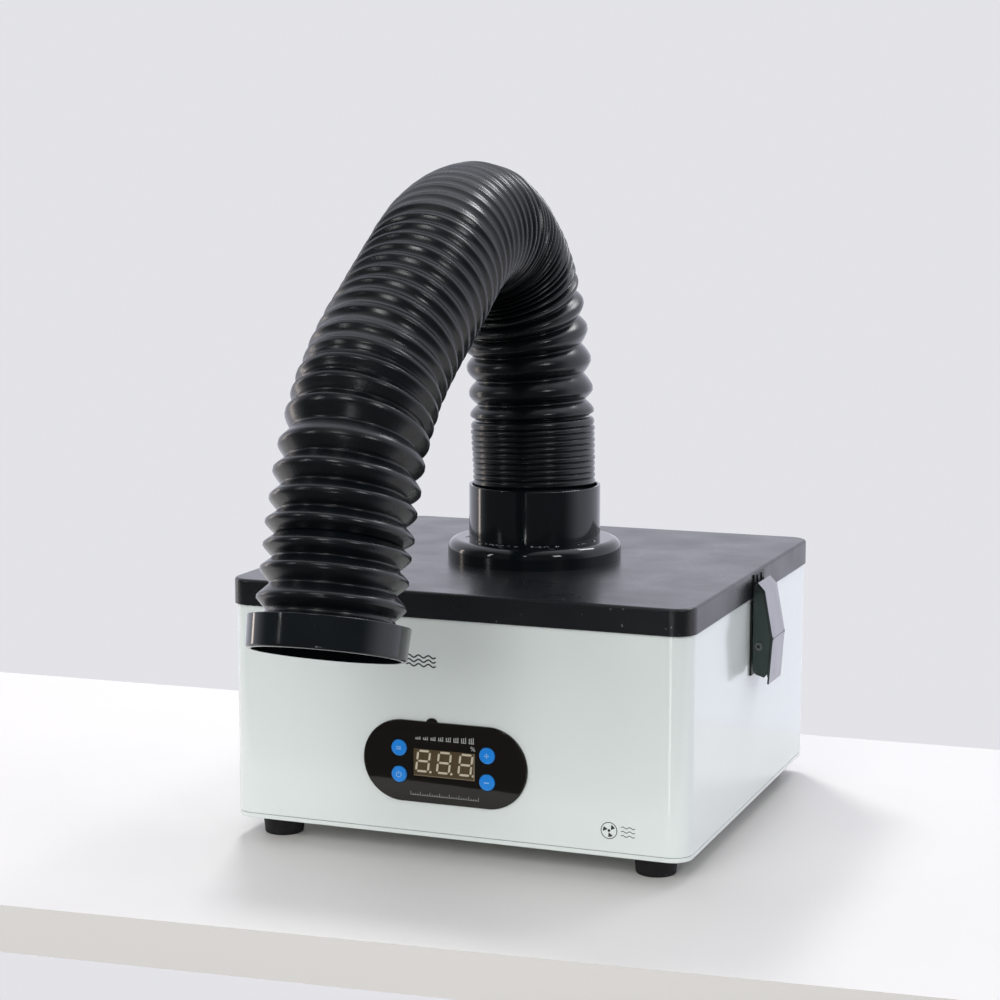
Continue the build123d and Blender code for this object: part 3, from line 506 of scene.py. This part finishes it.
closed_end = ridges[len(CLOSED_FOLDS)]
packed_start = ridges[len(CLOSED_FOLDS) + len(OPEN_BULGES)]
band_start = ridges[len(CLOSED_FOLDS + OPEN_BULGES + PACKED_FOLDS)]
limb_start = open_ridges[0]

# (arc length, ridge radius, depth outside the bend, depth inside it, pointedness, lip groove,
# roundness of the soft folds), mm
FOLD_STATIONS = [
    (rim_s, 37.3, 1.1, 1.1, 0.0, 0.0, 3.6),
    (closed_end - 2 * MM, 37.9, 1.1, 1.1, 0.0, 0.0, 3.6),
    (closed_end + 5 * MM, 38.1, 5.4, 5.4, 0.3, 0.5, 2.3),
    (packed_start - 8 * MM, 38.4, 5.4, 5.6, 0.3, 0.55, 2.3),
    (packed_start + 8 * MM, 38.4, 3.4, 5.0, 0.5, 0.0, 2.0),
    (band_start - 10 * MM, 38.4, 2.6, 5.2, 0.8, 0.0, 2.0),
    (band_start + 10 * MM, 38.4, 1.5, 5.0, 1.0, 0.4, 2.3),
    (limb_start - 14 * MM, 38.4, 1.9, 4.0, 1.0, 0.45, 2.3),
    (limb_start + 8 * MM, 38.4, 5.0, 5.8, 0.55, 0.4, 2.3),
    (duct.length - 40 * MM, 38.4, 6.2, 6.2, 0.45, 0.35, 2.3),
    (duct.length, 38.0, 5.8, 5.8, 0.6, 0.0, 2.3),
]


def station(s):
    """Fold measures at arc length s, between the two stations around it."""
    for low, high in zip(FOLD_STATIONS, FOLD_STATIONS[1:]):
        if s <= high[0]:
            share = clamp((s - low[0]) / (high[0] - low[0]))
            return [mix(a, b, share) for a, b in zip(low[1:], high[1:])]
    return list(FOLD_STATIONS[-1][1:])


CREST = 0.13
CREST_SHARPNESS = 1.9


def fold_drop(u, pointed, roundness):
    """Share of a fold's depth at u, from 0 on its ridge to 1 in its valley."""
    soft = u**roundness
    past = max(0.0, u - CREST) / (1 - CREST)
    sharp = 1 - (1 - past) ** CREST_SHARPNESS
    return mix(soft, sharp, pointed)


# each ridge is tilted and its radius changed a little, by a fixed seed
WOBBLE_SEED = 11
LEAST_GROWTH, MOST_GROWTH = -0.35, 0.25
GATHERING = 0.6
FIRST_VALLEY = rim_s - 1.0 * MM
LAST_VALLEY = duct.length - 2.5 * MM
TOUCH = 1e-6


def duct_rings(first_s, last_s, samples):
    """The rings between two valleys: arc length, place on the fold, tilt, growth and ridge."""
    wobble = random.Random(WOBBLE_SEED)
    valleys = [mix(a, b, 0.5) for a, b in zip(ridges, ridges[1:])]
    lows = [FIRST_VALLEY, *valleys]
    highs = [*valleys, LAST_VALLEY]
    rings = []
    for low, ridge, high in zip(lows, ridges, highs):
        tilt = Vector([wobble.uniform(-1, 1) for _ in range(3)])
        grow = wobble.uniform(LEAST_GROWTH, MOST_GROWTH)
        if high <= first_s + TOUCH or low >= last_s - TOUCH:
            continue
        is_last = high >= last_s - TOUCH
        for k in range(-samples, samples + (1 if is_last else 0)):
            u = abs(k) / samples
            # samples gather where the profile turns most, on the ridge and in the valley
            u = mix(u, 0.5 - 0.5 * math.cos(math.pi * u), GATHERING)
            rings.append((mix(ridge, low if k < 0 else high, u), u, tilt, grow, ridge))
    return rings


# How far ridges lean out of square, among the open folds and the closed ones, and how quickly
# depth and sharpness change from the outside of a bend to its inside.
RIDGE_LEAN, CLOSED_LEAN = 0.018, 0.0027
DEPTH_CHANGE, SHARPNESS_CHANGE = 2.2, 4.5
GROOVE_WIDTH = 0.1
GROOVE_FADE = 0.6


def ring_points(s, u, tilt, grow, ridge, inset=0.0):
    """Points round one ring of the corrugated wall."""
    centre, tangent, side, bend = duct.at(s)
    across = tangent.cross(side)
    radius, outer_depth, inner_depth, pointed, lip, roundness = station(ridge)
    uneven = RIDGE_LEAN if ridge > closed_end else CLOSED_LEAN
    lean = (tangent + tilt * uneven * (1 - u)).normalized()
    points = []
    for i in range(SEGMENTS):
        angle = 2 * math.pi * i / SEGMENTS
        way = side * math.cos(angle) + across * math.sin(angle)
        inward = way.dot(bend) * radius * MM
        share = clamp(0.5 + inward * DEPTH_CHANGE)
        depth = mix(outer_depth, inner_depth, share)
        keen = pointed * clamp(0.9 - inward * SHARPNESS_CHANGE)
        drop = depth * fold_drop(u, keen, roundness)
        groove = lip * math.exp(-((u / GROOVE_WIDTH) ** 2)) * (1 - GROOVE_FADE * share)
        size = (radius + grow * (1 - u) - drop - groove) * MM - inset
        offset = way * size
        points.append(centre + offset - tangent * (offset.dot(lean) / lean.dot(tangent)))
    return points


def plain_ring(s, radius, inset):
    """Points round a plain ring, which may lie on the line's straight run past its end."""
    centre, tangent, side, _ = duct.at(s)
    centre = centre + tangent * max(0.0, s - duct.length)
    across = tangent.cross(side)
    turns = [2 * math.pi * i / SEGMENTS for i in range(SEGMENTS)]
    size = radius * MM - inset
    return [centre + (side * math.cos(a) + across * math.sin(a)) * size for a in turns]


def hose_wall(first_s, last_s, lead_in, lead_out, samples, inset):
    """Rows of points along one face of the wall, with plain rings before and after its folds."""
    rows = [plain_ring(s, radius, inset) for s, radius in lead_in]
    rows += [ring_points(*ring, inset) for ring in duct_rings(first_s, last_s, samples)]
    return rows + [plain_ring(s, radius, inset) for s, radius in lead_out]


def hose_piece(name, first_s, last_s, lead_in, lead_out):
    """A closed corrugated wall between two arc lengths, finer outside than inside."""
    outer = hose_wall(first_s, last_s, lead_in, lead_out, 6, 0.0)
    inner = hose_wall(first_s, last_s, lead_in, lead_out, 3, HOSE_WALL)
    rows = outer + inner[::-1]
    points = [point for row in rows for point in row]
    faces = []
    for r in range(len(rows)):
        here = r * SEGMENTS
        there = (r + 1) % len(rows) * SEGMENTS
        for i in range(SEGMENTS):
            j = (i + 1) % SEGMENTS
            faces.append((here + i, here + j, there + j, there + i))
    return new_mesh(name, points, faces, hose_plastic)


# the duct is cut in two at a valley, above the nozzle's last folds
split_fold = len(ridges) - 4
split_s = mix(ridges[split_fold], ridges[split_fold + 1], 0.5)
# Plain rings, as arc lengths and radii in mm: a foot inside the collar, and a cuff at the other
# end that seats in the lip of the nozzle ring.
start_rings = [
    (0.0, FOOT_RADIUS),
    (rim_s - 6 * MM, FOOT_RADIUS),
    (rim_s - 2.5 * MM, FOOT_RADIUS - 0.6),
]
end_rings = [
    (duct.length - 1.2 * MM, NECK_RADIUS),
    (duct.length - 0.4 * MM, CUFF_RADIUS),
    (duct.length + CUFF_REACH * MM, CUFF_RADIUS),
]

hose_upper = hose_piece("hose_upper", FIRST_VALLEY, split_s, start_rings, [])
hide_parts("hose_cuff", "hose_riser", "hose_arch")
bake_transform(hose_upper)

hose_lower = hose_piece("hose_lower", split_s, duct.length, [], end_rings)
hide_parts("hose_drop", "hose_neck", "nozzle_cuff")
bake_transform(hose_lower)

# ---------------------------------------------------------------- printed marks and small details

front_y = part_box("body_shell")[0].y
fascia_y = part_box("control_fascia")[0].y
glass_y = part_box("display_module")[0].y


def stroke(points, width, closed=False):
    """The outline quads of a line of even width through points, mitred at its corners."""
    count = len(points)
    left, right = [], []
    for i, (x, z) in enumerate(points):
        before = points[i - 1] if i or closed else points[i]
        after = points[(i + 1) % count] if i < count - 1 or closed else points[i]
        run_in = Vector((x - before[0], z - before[1]))
        run_out = Vector((after[0] - x, after[1] - z))
        run_in = run_in.normalized() if run_in.length else run_out.normalized()
        run_out = run_out.normalized() if run_out.length else run_in
        along = (run_in + run_out).normalized()
        across = Vector((-along.y, along.x)) * (width / 2 / max(0.4, along.dot(run_in)))
        left.append((x + across.x, z + across.y))
        right.append((x - across.x, z - across.y))
    spans = range(count if closed else count - 1)
    return [[left[i], left[(i + 1) % count], right[(i + 1) % count], right[i]] for i in spans]


def arc(x, z, radius, start, end, steps=16):
    """Points of an arc, in degrees."""
    turns = [math.radians(start + (end - start) * i / steps) for i in range(steps + 1)]
    return [(x + radius * math.cos(t), z + radius * math.sin(t)) for t in turns]


def disc(x, z, radius, steps=20):
    return arc(x, z, radius, 0, 360 - 360 / steps, steps - 1)


def mark(name, outlines, plane_y, body, material, rise=0.05):
    """A thin film of print or of painted shade: convex outlines in X and Z (mm) standing off a
    plane that faces -Y.
    """
    points, faces = [], []
    for outline in outlines:
        first, count = len(points), len(outline)
        area = sum(
            a[0] * b[1] - b[0] * a[1] for a, b in zip(outline, outline[1:] + outline[:1])
        )
        if area < 0:
            outline = outline[::-1]
        points += [Vector((x * MM, plane_y, z * MM)) for x, z in outline]
        points += [Vector((x * MM, plane_y - rise * MM, z * MM)) for x, z in outline]
        faces.append([first + count + i for i in range(count)])
        for i in range(count):
            j = (i + 1) % count
            faces.append([first + i, first + j, first + count + j, first + count + i])
    piece = new_mesh(name, points, faces, material)
    piece.data.polygons.foreach_set("use_smooth", [False] * len(piece.data.polygons))
    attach(piece, body)
    return piece


# three slanted figure eights with their points, on the display's face (mm)
DIGIT_LEFTS = [-21.4, -8.6, 4.5]
DIGIT_LOW, DIGIT_HIGH, DIGIT_WIDTH = 50.4, 62.2, 7.3
SLANT = math.tan(math.radians(7))
BAR_HALF = 0.62
BAR_GAP = 0.5
POINT_RADIUS, POINT_GAP, POINT_DROP = 0.75, 1.6, 0.1


def digit_bar(start, end, level, upright):
    """One pointed bar of a digit, along Z when upright and along X when not."""
    a, b = start + BAR_GAP, end - BAR_GAP
    half = BAR_HALF if upright else -BAR_HALF
    along = [a, a + BAR_HALF, b - BAR_HALF, b, b - BAR_HALF, a + BAR_HALF]
    beside = [level, level + half, level + half, level, level - half, level - half]
    return list(zip(beside, along)) if upright else list(zip(along, beside))


def digit_segments(left):
    """The seven bars of one digit and its point, as outlines."""
    middle = (DIGIT_LOW + DIGIT_HIGH) / 2
    right = left + DIGIT_WIDTH
    bars = [digit_bar(left, right, z, upright=False) for z in (DIGIT_LOW, middle, DIGIT_HIGH)]
    for x in (left, right):
        bars.append(digit_bar(DIGIT_LOW, middle, x, upright=True))
        bars.append(digit_bar(middle, DIGIT_HIGH, x, upright=True))
    bars.append(disc(right + POINT_GAP, DIGIT_LOW - POINT_DROP, POINT_RADIUS, 12))
    return [[(x + (z - DIGIT_LOW) * SLANT, z) for x, z in bar] for bar in bars]


digits = [bar for left in DIGIT_LEFTS for bar in digit_segments(left)]
mark("display_digits", digits, glass_y, "chassis", segment_cream)

low, high = [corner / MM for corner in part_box("display_module")]
FRAME_MARGIN, FRAME_POST, FRAME_RAIL = 0.2, 0.9, 0.6


def upright_box(left, foot, right, top):
    """The outline of an upright rectangle."""
    return [(left, foot), (right, foot), (right, top), (left, top)]


post_x = high.x - FRAME_POST
frame_foot = low.z + FRAME_MARGIN
frame_right = upright_box(post_x, frame_foot, high.x - FRAME_MARGIN, high.z - FRAME_MARGIN)
frame_base = upright_box(low.x + FRAME_MARGIN, frame_foot, post_x, low.z + FRAME_RAIL)
mark("display_frame", [frame_right, frame_base], glass_y, "chassis", print_bronze)

# a percent sign by the display
percent = stroke([(12.7, 65.0), (14.5, 67.2)], 0.35)
percent += stroke(disc(12.8, 66.8, 0.5, 10), 0.3, closed=True)
percent += stroke(disc(14.4, 65.4, 0.5, 10), 0.3, closed=True)
mark("percent_sign", percent, fascia_y, "chassis", print_grey)

# a rising level scale above the display: bases in a row, each with three growing bars on it
LEVEL_COUNT = 8
LEVEL_LEFT, LEVEL_Z = -21.5, 69.1
LEVEL_PITCH, LEVEL_WIDTH = 4.65, 3.2
BAR_LEFT, BAR_PITCH, BAR_FOOT = 0.4, 1.2, 69.3
BAR_TALL, BAR_GROWTH, BAR_STEP = 0.7, 0.28, 0.25

levels = []
for i in range(LEVEL_COUNT):
    left = LEVEL_LEFT + LEVEL_PITCH * i
    levels += stroke([(left, LEVEL_Z), (left + LEVEL_WIDTH, LEVEL_Z)], 0.4)
    for step in range(3):
        x = left + BAR_LEFT + BAR_PITCH * step
        tall = BAR_TALL + BAR_GROWTH * i + BAR_STEP * step
        levels += stroke([(x, BAR_FOOT), (x, BAR_FOOT + tall)], 0.55)
mark("level_scale", levels, fascia_y, "chassis", print_grey)

# a ruled scale below the display, with every fourth tick tall
RULE_LEFT, RULE_RIGHT, RULE_Z = -24.5, 17.0, 36.4
RULE_TICKS = 28
TICK_TALL, TICK_SHORT = 1.9, 1.0

ruled = stroke([(RULE_LEFT, RULE_Z), (RULE_RIGHT, RULE_Z)], 0.22)
for i in range(RULE_TICKS + 1):
    x = RULE_LEFT + (RULE_RIGHT - RULE_LEFT) * i / RULE_TICKS
    tall = TICK_SHORT if i % 4 else TICK_TALL
    ruled += stroke([(x, RULE_Z), (x, RULE_Z + tall)], 0.25)
mark("ruled_scale", ruled, fascia_y, "chassis", print_grey)

# pale signs on the keys: two bars, a power sign, a plus and a minus
KEY_SIGNS = {
    "mode": ("button_mode", "key_mode"),
    "power": ("button_on_off", "key_on_off"),
    "plus": ("button_plus", "key_plus"),
    "minus": ("button_minus", "key_minus"),
}
SIGN_REACH = 1.5
SIGN_WEIGHT, MODE_WEIGHT, POWER_WEIGHT = 0.55, 0.5, 0.42
MODE_RISE = 0.6
POWER_FOOT, POWER_TOP = 0.3, 2.1


def key_sign(sign, x, z):
    """The strokes of a key's sign, about the point x, z."""
    def level_line(at_z, weight):
        return stroke([(x - SIGN_REACH, at_z), (x + SIGN_REACH, at_z)], weight)

    if sign == "mode":
        return level_line(z + MODE_RISE, MODE_WEIGHT) + level_line(z - MODE_RISE, MODE_WEIGHT)
    if sign == "power":
        ring = stroke(arc(x, z, SIGN_REACH, 125, 415), POWER_WEIGHT)
        return ring + stroke([(x, z + POWER_FOOT), (x, z + POWER_TOP)], POWER_WEIGHT)
    if sign == "plus":
        upright = stroke([(x, z - SIGN_REACH), (x, z + SIGN_REACH)], SIGN_WEIGHT)
        return level_line(z, SIGN_WEIGHT) + upright
    return level_line(z, SIGN_WEIGHT)


for sign, (node, body) in KEY_SIGNS.items():
    low, high = [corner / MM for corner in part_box(node)]
    outlines = key_sign(sign, (low.x + high.x) / 2, (low.z + high.z) / 2)
    mark(f"sign_{sign}", outlines, low.y * MM, body, print_pale, rise=0.04)


def wavy_lines(left, foot, width, pitch, height, steps, steps_per_wave, weight):
    """Three waves of air, one above the other."""
    outlines = []
    for row in range(3):
        z = foot + pitch * row
        line = [
            (left + width * i / steps, z + height * math.sin(2 * math.pi * i / steps_per_wave))
            for i in range(steps + 1)
        ]
        outlines += stroke(line, weight)
    return outlines


# waves of air on the front, and a small fan with waves low on its right
waves = wavy_lines(
    left=-27.5, foot=111.6, width=18.0, pitch=2.5, height=0.75, steps=36, steps_per_wave=12,
    weight=0.85,
)
mark("air_waves", waves, front_y, "chassis", print_dark)

FAN_X, FAN_Z, FAN_RADIUS = 94.0, 27.0, 4.6
BLADE_ROOT, BLADE_REACH = 1.1, 3.6

fan = stroke(disc(FAN_X, FAN_Z, FAN_RADIUS, 40), 0.45, closed=True)
fan.append(disc(FAN_X, FAN_Z, 0.8, 14))
for blade in range(3):
    turn = math.radians(120 * blade + 20)
    outline = [(FAN_X + BLADE_ROOT * math.cos(turn), FAN_Z + BLADE_ROOT * math.sin(turn))]
    for swing in (0.05, 0.3, 0.6, 0.85):
        x = FAN_X + BLADE_REACH * math.cos(turn + swing)
        z = FAN_Z + BLADE_REACH * math.sin(turn + swing)
        outline.append((x, z))
    fan.append(outline)
fan += wavy_lines(
    left=101.0, foot=24.6, width=8.0, pitch=2.4, height=0.45, steps=18, steps_per_wave=9,
    weight=0.42,
)
mark("fan_sign", fan, front_y, "chassis", print_dark)

# Latch covers, mm: a line of painted shadow along the seam where a cover is folded over its cheeks,
# as distances out from the shell and heights, and a strip of painted shade along the crease across
# it at its knee, with a wider patch of painted shade for the notch at each end.
KNEE_HEIGHT = 115.4
COVER_SEAM = [(4.4, 147.1), (8.3, 143.2), (13.05, KNEE_HEIGHT), (11.5, 92.5)]
SEAM_WIDTH = 0.6
CREASE_HALF, CREASE_SINK, CREASE_INSET = 0.22, 0.01, 0.002
NOTCH_HALF, NOTCH_LENGTH = 1.0, 1.7
PIN_EYE_RADIUS, PIN_EYE_SINK = 0.85, 1.2


def crease_rows(crest_x, side, y_low, y_high, half):
    """Six points of a strip along Y over the knee: at each end below, on and above its crest."""
    return [
        Vector((crest_x - side * back * MM, y * MM, (KNEE_HEIGHT + rise) * MM))
        for y in (y_low, y_high)
        for rise, back in ((-half, CREASE_SINK), (0.0, 0.0), (half, CREASE_SINK))
    ]


for side, name in ((-1, "left"), (1, "right")):
    cover_low, cover_high = [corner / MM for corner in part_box(f"latch_cover_{name}")]
    wall_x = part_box("body_shell")[1].x * side / MM
    # painted shadow: a dark line where the folded sheet's edge lies in shade
    seam_shadow = stroke([(wall_x + side * out, z) for out, z in COVER_SEAM], SEAM_WIDTH)
    seam_y = cover_low.y * MM
    mark(f"cover_seam_shadow_{name}", seam_shadow, seam_y, f"cover_{name}", painted_shade_dark)
    pin_low, pin_high = [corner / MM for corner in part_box(f"latch_cover_pin_{name}")]
    # painted shade: a dark disc sunk in the pin's bore
    bore_shade = disc((pin_low.x + pin_high.x) / 2, (pin_low.z + pin_high.z) / 2, PIN_EYE_RADIUS)
    eye_y = (pin_low.y + PIN_EYE_SINK) * MM
    mark(f"pin_bore_shade_{name}", [bore_shade], eye_y, f"cover_{name}", painted_shade_dark)

    # painted shade: dark strips along the knee's crest and, wider, over the notches at its ends
    crest_x = (cover_high.x if side > 0 else cover_low.x) * MM - side * CREASE_INSET * MM
    crease_points, crease_faces = [], []
    for y_low, y_high, half in (
        (cover_low.y, cover_high.y, CREASE_HALF),
        (cover_low.y, cover_low.y + NOTCH_LENGTH, NOTCH_HALF),
        (cover_high.y - NOTCH_LENGTH, cover_high.y, NOTCH_HALF),
    ):
        first = len(crease_points)
        crease_points += crease_rows(crest_x, side, y_low, y_high, half)
        crease_faces.append([first, first + 1, first + 4, first + 3])
        crease_faces.append([first + 1, first + 2, first + 5, first + 4])
    crease_shade = new_mesh(f"knee_crease_shade_{name}", crease_points, crease_faces, painted_shade_dark)
    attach(crease_shade, f"cover_{name}")

# Clear cement that squeezed out round the foot of the collar: the middle and spread (degrees)
# of the two places where it gathered, with the number of beads, and the beads all round.
CEMENT_PATCHES = [(-104, 9, 26), (-62, 16, 12)]
CEMENT_ALL_ROUND = 26
CEMENT_SEED = 5

flange_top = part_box("inlet_flange")[1].z
collar_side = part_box("inlet_collar")[1].x
drops = random.Random(CEMENT_SEED)
cement = bmesh.new()
spots = []
for middle, spread, count in CEMENT_PATCHES:
    spots += [drops.gauss(middle, spread) for _ in range(count)]
spots += [drops.uniform(-180, 180) for _ in range(CEMENT_ALL_ROUND)]
for spot in spots:
    turn = math.radians(spot)
    size = drops.uniform(0.25, 0.75) * MM
    reach = collar_side + drops.uniform(0.0, 1.6) * MM
    squat = drops.uniform(0.5, 0.9)
    stretch = drops.uniform(1.0, 2.4)
    place = Matrix.Translation((reach * math.cos(turn), reach * math.sin(turn), flange_top))
    shape = Matrix.Rotation(turn, 4, "Z") @ Matrix.Diagonal((1, stretch, squat, 1))
    made = bmesh.ops.create_icosphere(cement, subdivisions=2, radius=size, matrix=place @ shape)
    for vertex in made["verts"]:
        vertex.co += Vector([drops.uniform(-0.06, 0.06) * MM for _ in range(3)])
cement_mesh = bpy.data.meshes.new("cement_beads")
cement.to_mesh(cement_mesh)
cement.free()
cement_mesh.polygons.foreach_set("use_smooth", [True] * len(cement_mesh.polygons))
cement_mesh.materials.append(cement_clear)
cement_beads = bpy.data.objects.new("cement_beads", cement_mesh)
bpy.context.scene.collection.objects.link(cement_beads)
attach(cement_beads, "lid")

# ---------------------------------------------------------------- studio

# the camera, fitted to the edges of the case
CAMERA_PLACE = (0.4800, -1.3123, 0.3845)
CAMERA_TURN = (82.04, -0.06, 20.97)
CAMERA_LENS = 82.94
CAMERA_SENSOR = 36.0

camera_data = bpy.data.cameras.new("camera")
camera_data.lens = CAMERA_LENS
camera_data.sensor_width = CAMERA_SENSOR
camera = bpy.data.objects.new("camera", camera_data)
camera.location = CAMERA_PLACE
camera.rotation_euler = [math.radians(angle) for angle in CAMERA_TURN]
bpy.context.scene.collection.objects.link(camera)
bpy.context.scene.camera = camera
bpy.context.scene.view_settings.view_transform = "Standard"

floor_material = surface(
    "pale_floor", linear(214, 212, 209), 0.5, tone=0.01, tone_size=3, smudge=0.03, grain=0.02
)
# painted light: the slab's front edge is coloured paler than its top, standing in for light that
# its upright face doesn't get
edge_painted_light = surface(
    "pale_edge", linear(252, 248, 243), 0.4, tone=0.01, tone_size=3, smudge=0.03, grain=0.02
)
# the bench is a slab, with its front edge in view
FLOOR_CORNERS = [(-0.95, -0.36), (0.9, -0.21), (0.9, 0.262), (-0.95, 0.184)]
FLOOR_THICKNESS = 0.026
floor_points = [(x, y, z) for z in (0, -FLOOR_THICKNESS) for x, y in FLOOR_CORNERS]
floor_sides = [(i, (i + 1) % 4, (i + 1) % 4 + 4, i + 4) for i in range(4)]
floor_mesh = bpy.data.meshes.new("floor")
floor_mesh.from_pydata(floor_points, [], [(3, 2, 1, 0), *floor_sides, (4, 5, 6, 7)])
floor_mesh.materials.append(floor_material)
floor_mesh.materials.append(edge_painted_light)
for edge in floor_mesh.polygons[1:5]:
    edge.material_index = 1
floor = bpy.data.objects.new("floor", floor_mesh)
bpy.context.scene.collection.objects.link(floor)

# The backdrop is even for the camera; reflections see a room that is dark in front and pale behind.
world = bpy.data.worlds.new("studio")
bpy.context.scene.world = world
world.use_nodes = True
sky = world.node_tree
backdrop = sky.nodes["Background"]
backdrop.inputs["Color"].default_value = rgba(linear(226, 226, 231))
direction = sky.nodes.new("ShaderNodeTexCoord")
parts = sky.nodes.new("ShaderNodeSeparateXYZ")
sky.links.new(direction.outputs["Generated"], parts.inputs[0])
depth = map_range(sky, parts.outputs["Y"], -0.35, 0.35, 0, 1)
depth.interpolation_type = "SMOOTHSTEP"
tint = mix_colours(sky, depth.outputs[0], (0.1, 0.105, 0.11, 1), (0.98, 0.99, 1.12, 1))
room = sky.nodes.new("ShaderNodeBackground")
sky.links.new(tint, room.inputs["Color"])
path = sky.nodes.new("ShaderNodeLightPath")
choose = sky.nodes.new("ShaderNodeMixShader")
sky.links.new(path.outputs["Is Camera Ray"], choose.inputs[0])
sky.links.new(room.outputs[0], choose.inputs[1])
sky.links.new(backdrop.outputs[0], choose.inputs[2])
sky.links.new(choose.outputs[0], sky.nodes["World Output"].inputs[0])


def soft_light(name, place, target, width, height, power, colour=(1, 1, 1), glossy=True):
    """A rectangular lamp that faces its target; a lamp that isn't glossy shows in no reflection."""
    data = bpy.data.lights.new(name, "AREA")
    data.shape = "RECTANGLE"
    data.size = width
    data.size_y = height
    data.energy = power
    data.color = colour
    light = bpy.data.objects.new(name, data)
    light.location = place
    light.rotation_euler = (Vector(target) - Vector(place)).to_track_quat("-Z", "Y").to_euler()
    light.visible_camera = False
    light.visible_glossy = glossy
    bpy.context.scene.collection.objects.link(light)


# name, place, target, width, height and power
soft_light("key", (-0.62, 1.0, 1.5), (0, 0, 0.1), 0.35, 0.35, 17, glossy=False)
soft_light("ceiling", (0.1, -0.2, 2.1), (0, -0.1, 0), 3.0, 2.4, 9)
soft_light("front_high", (0.0, -2.2, 1.1), (0, 0, 0.15), 2.4, 1.4, 28, glossy=False)
soft_light("front_spot", (0.0, -1.9, 1.5), (0, 0, 0.2), 0.5, 0.3, 5.0)
soft_light("front_left", (-1.3, -1.4, 0.9), (0, 0, 0.15), 0.12, 0.8, 2.5)
soft_light("front_right", (1.3, -1.0, 1.2), (0, 0, 0.15), 0.3, 0.4, 3.5)
soft_light("rim_right", (0.5, 0.85, 1.4), (0, 0, 0.3), 0.35, 0.35, 4)
soft_light("strip_front", (0.12, -1.6, -0.15), (0, 0, 0.1), 0.04, 0.6, 0.9)
soft_light("strip_left", (-1.25, 0.03, 0.1), (0, 0, 0.1), 0.11, 0.9, 1.6, (1.0, 0.86, 0.74))
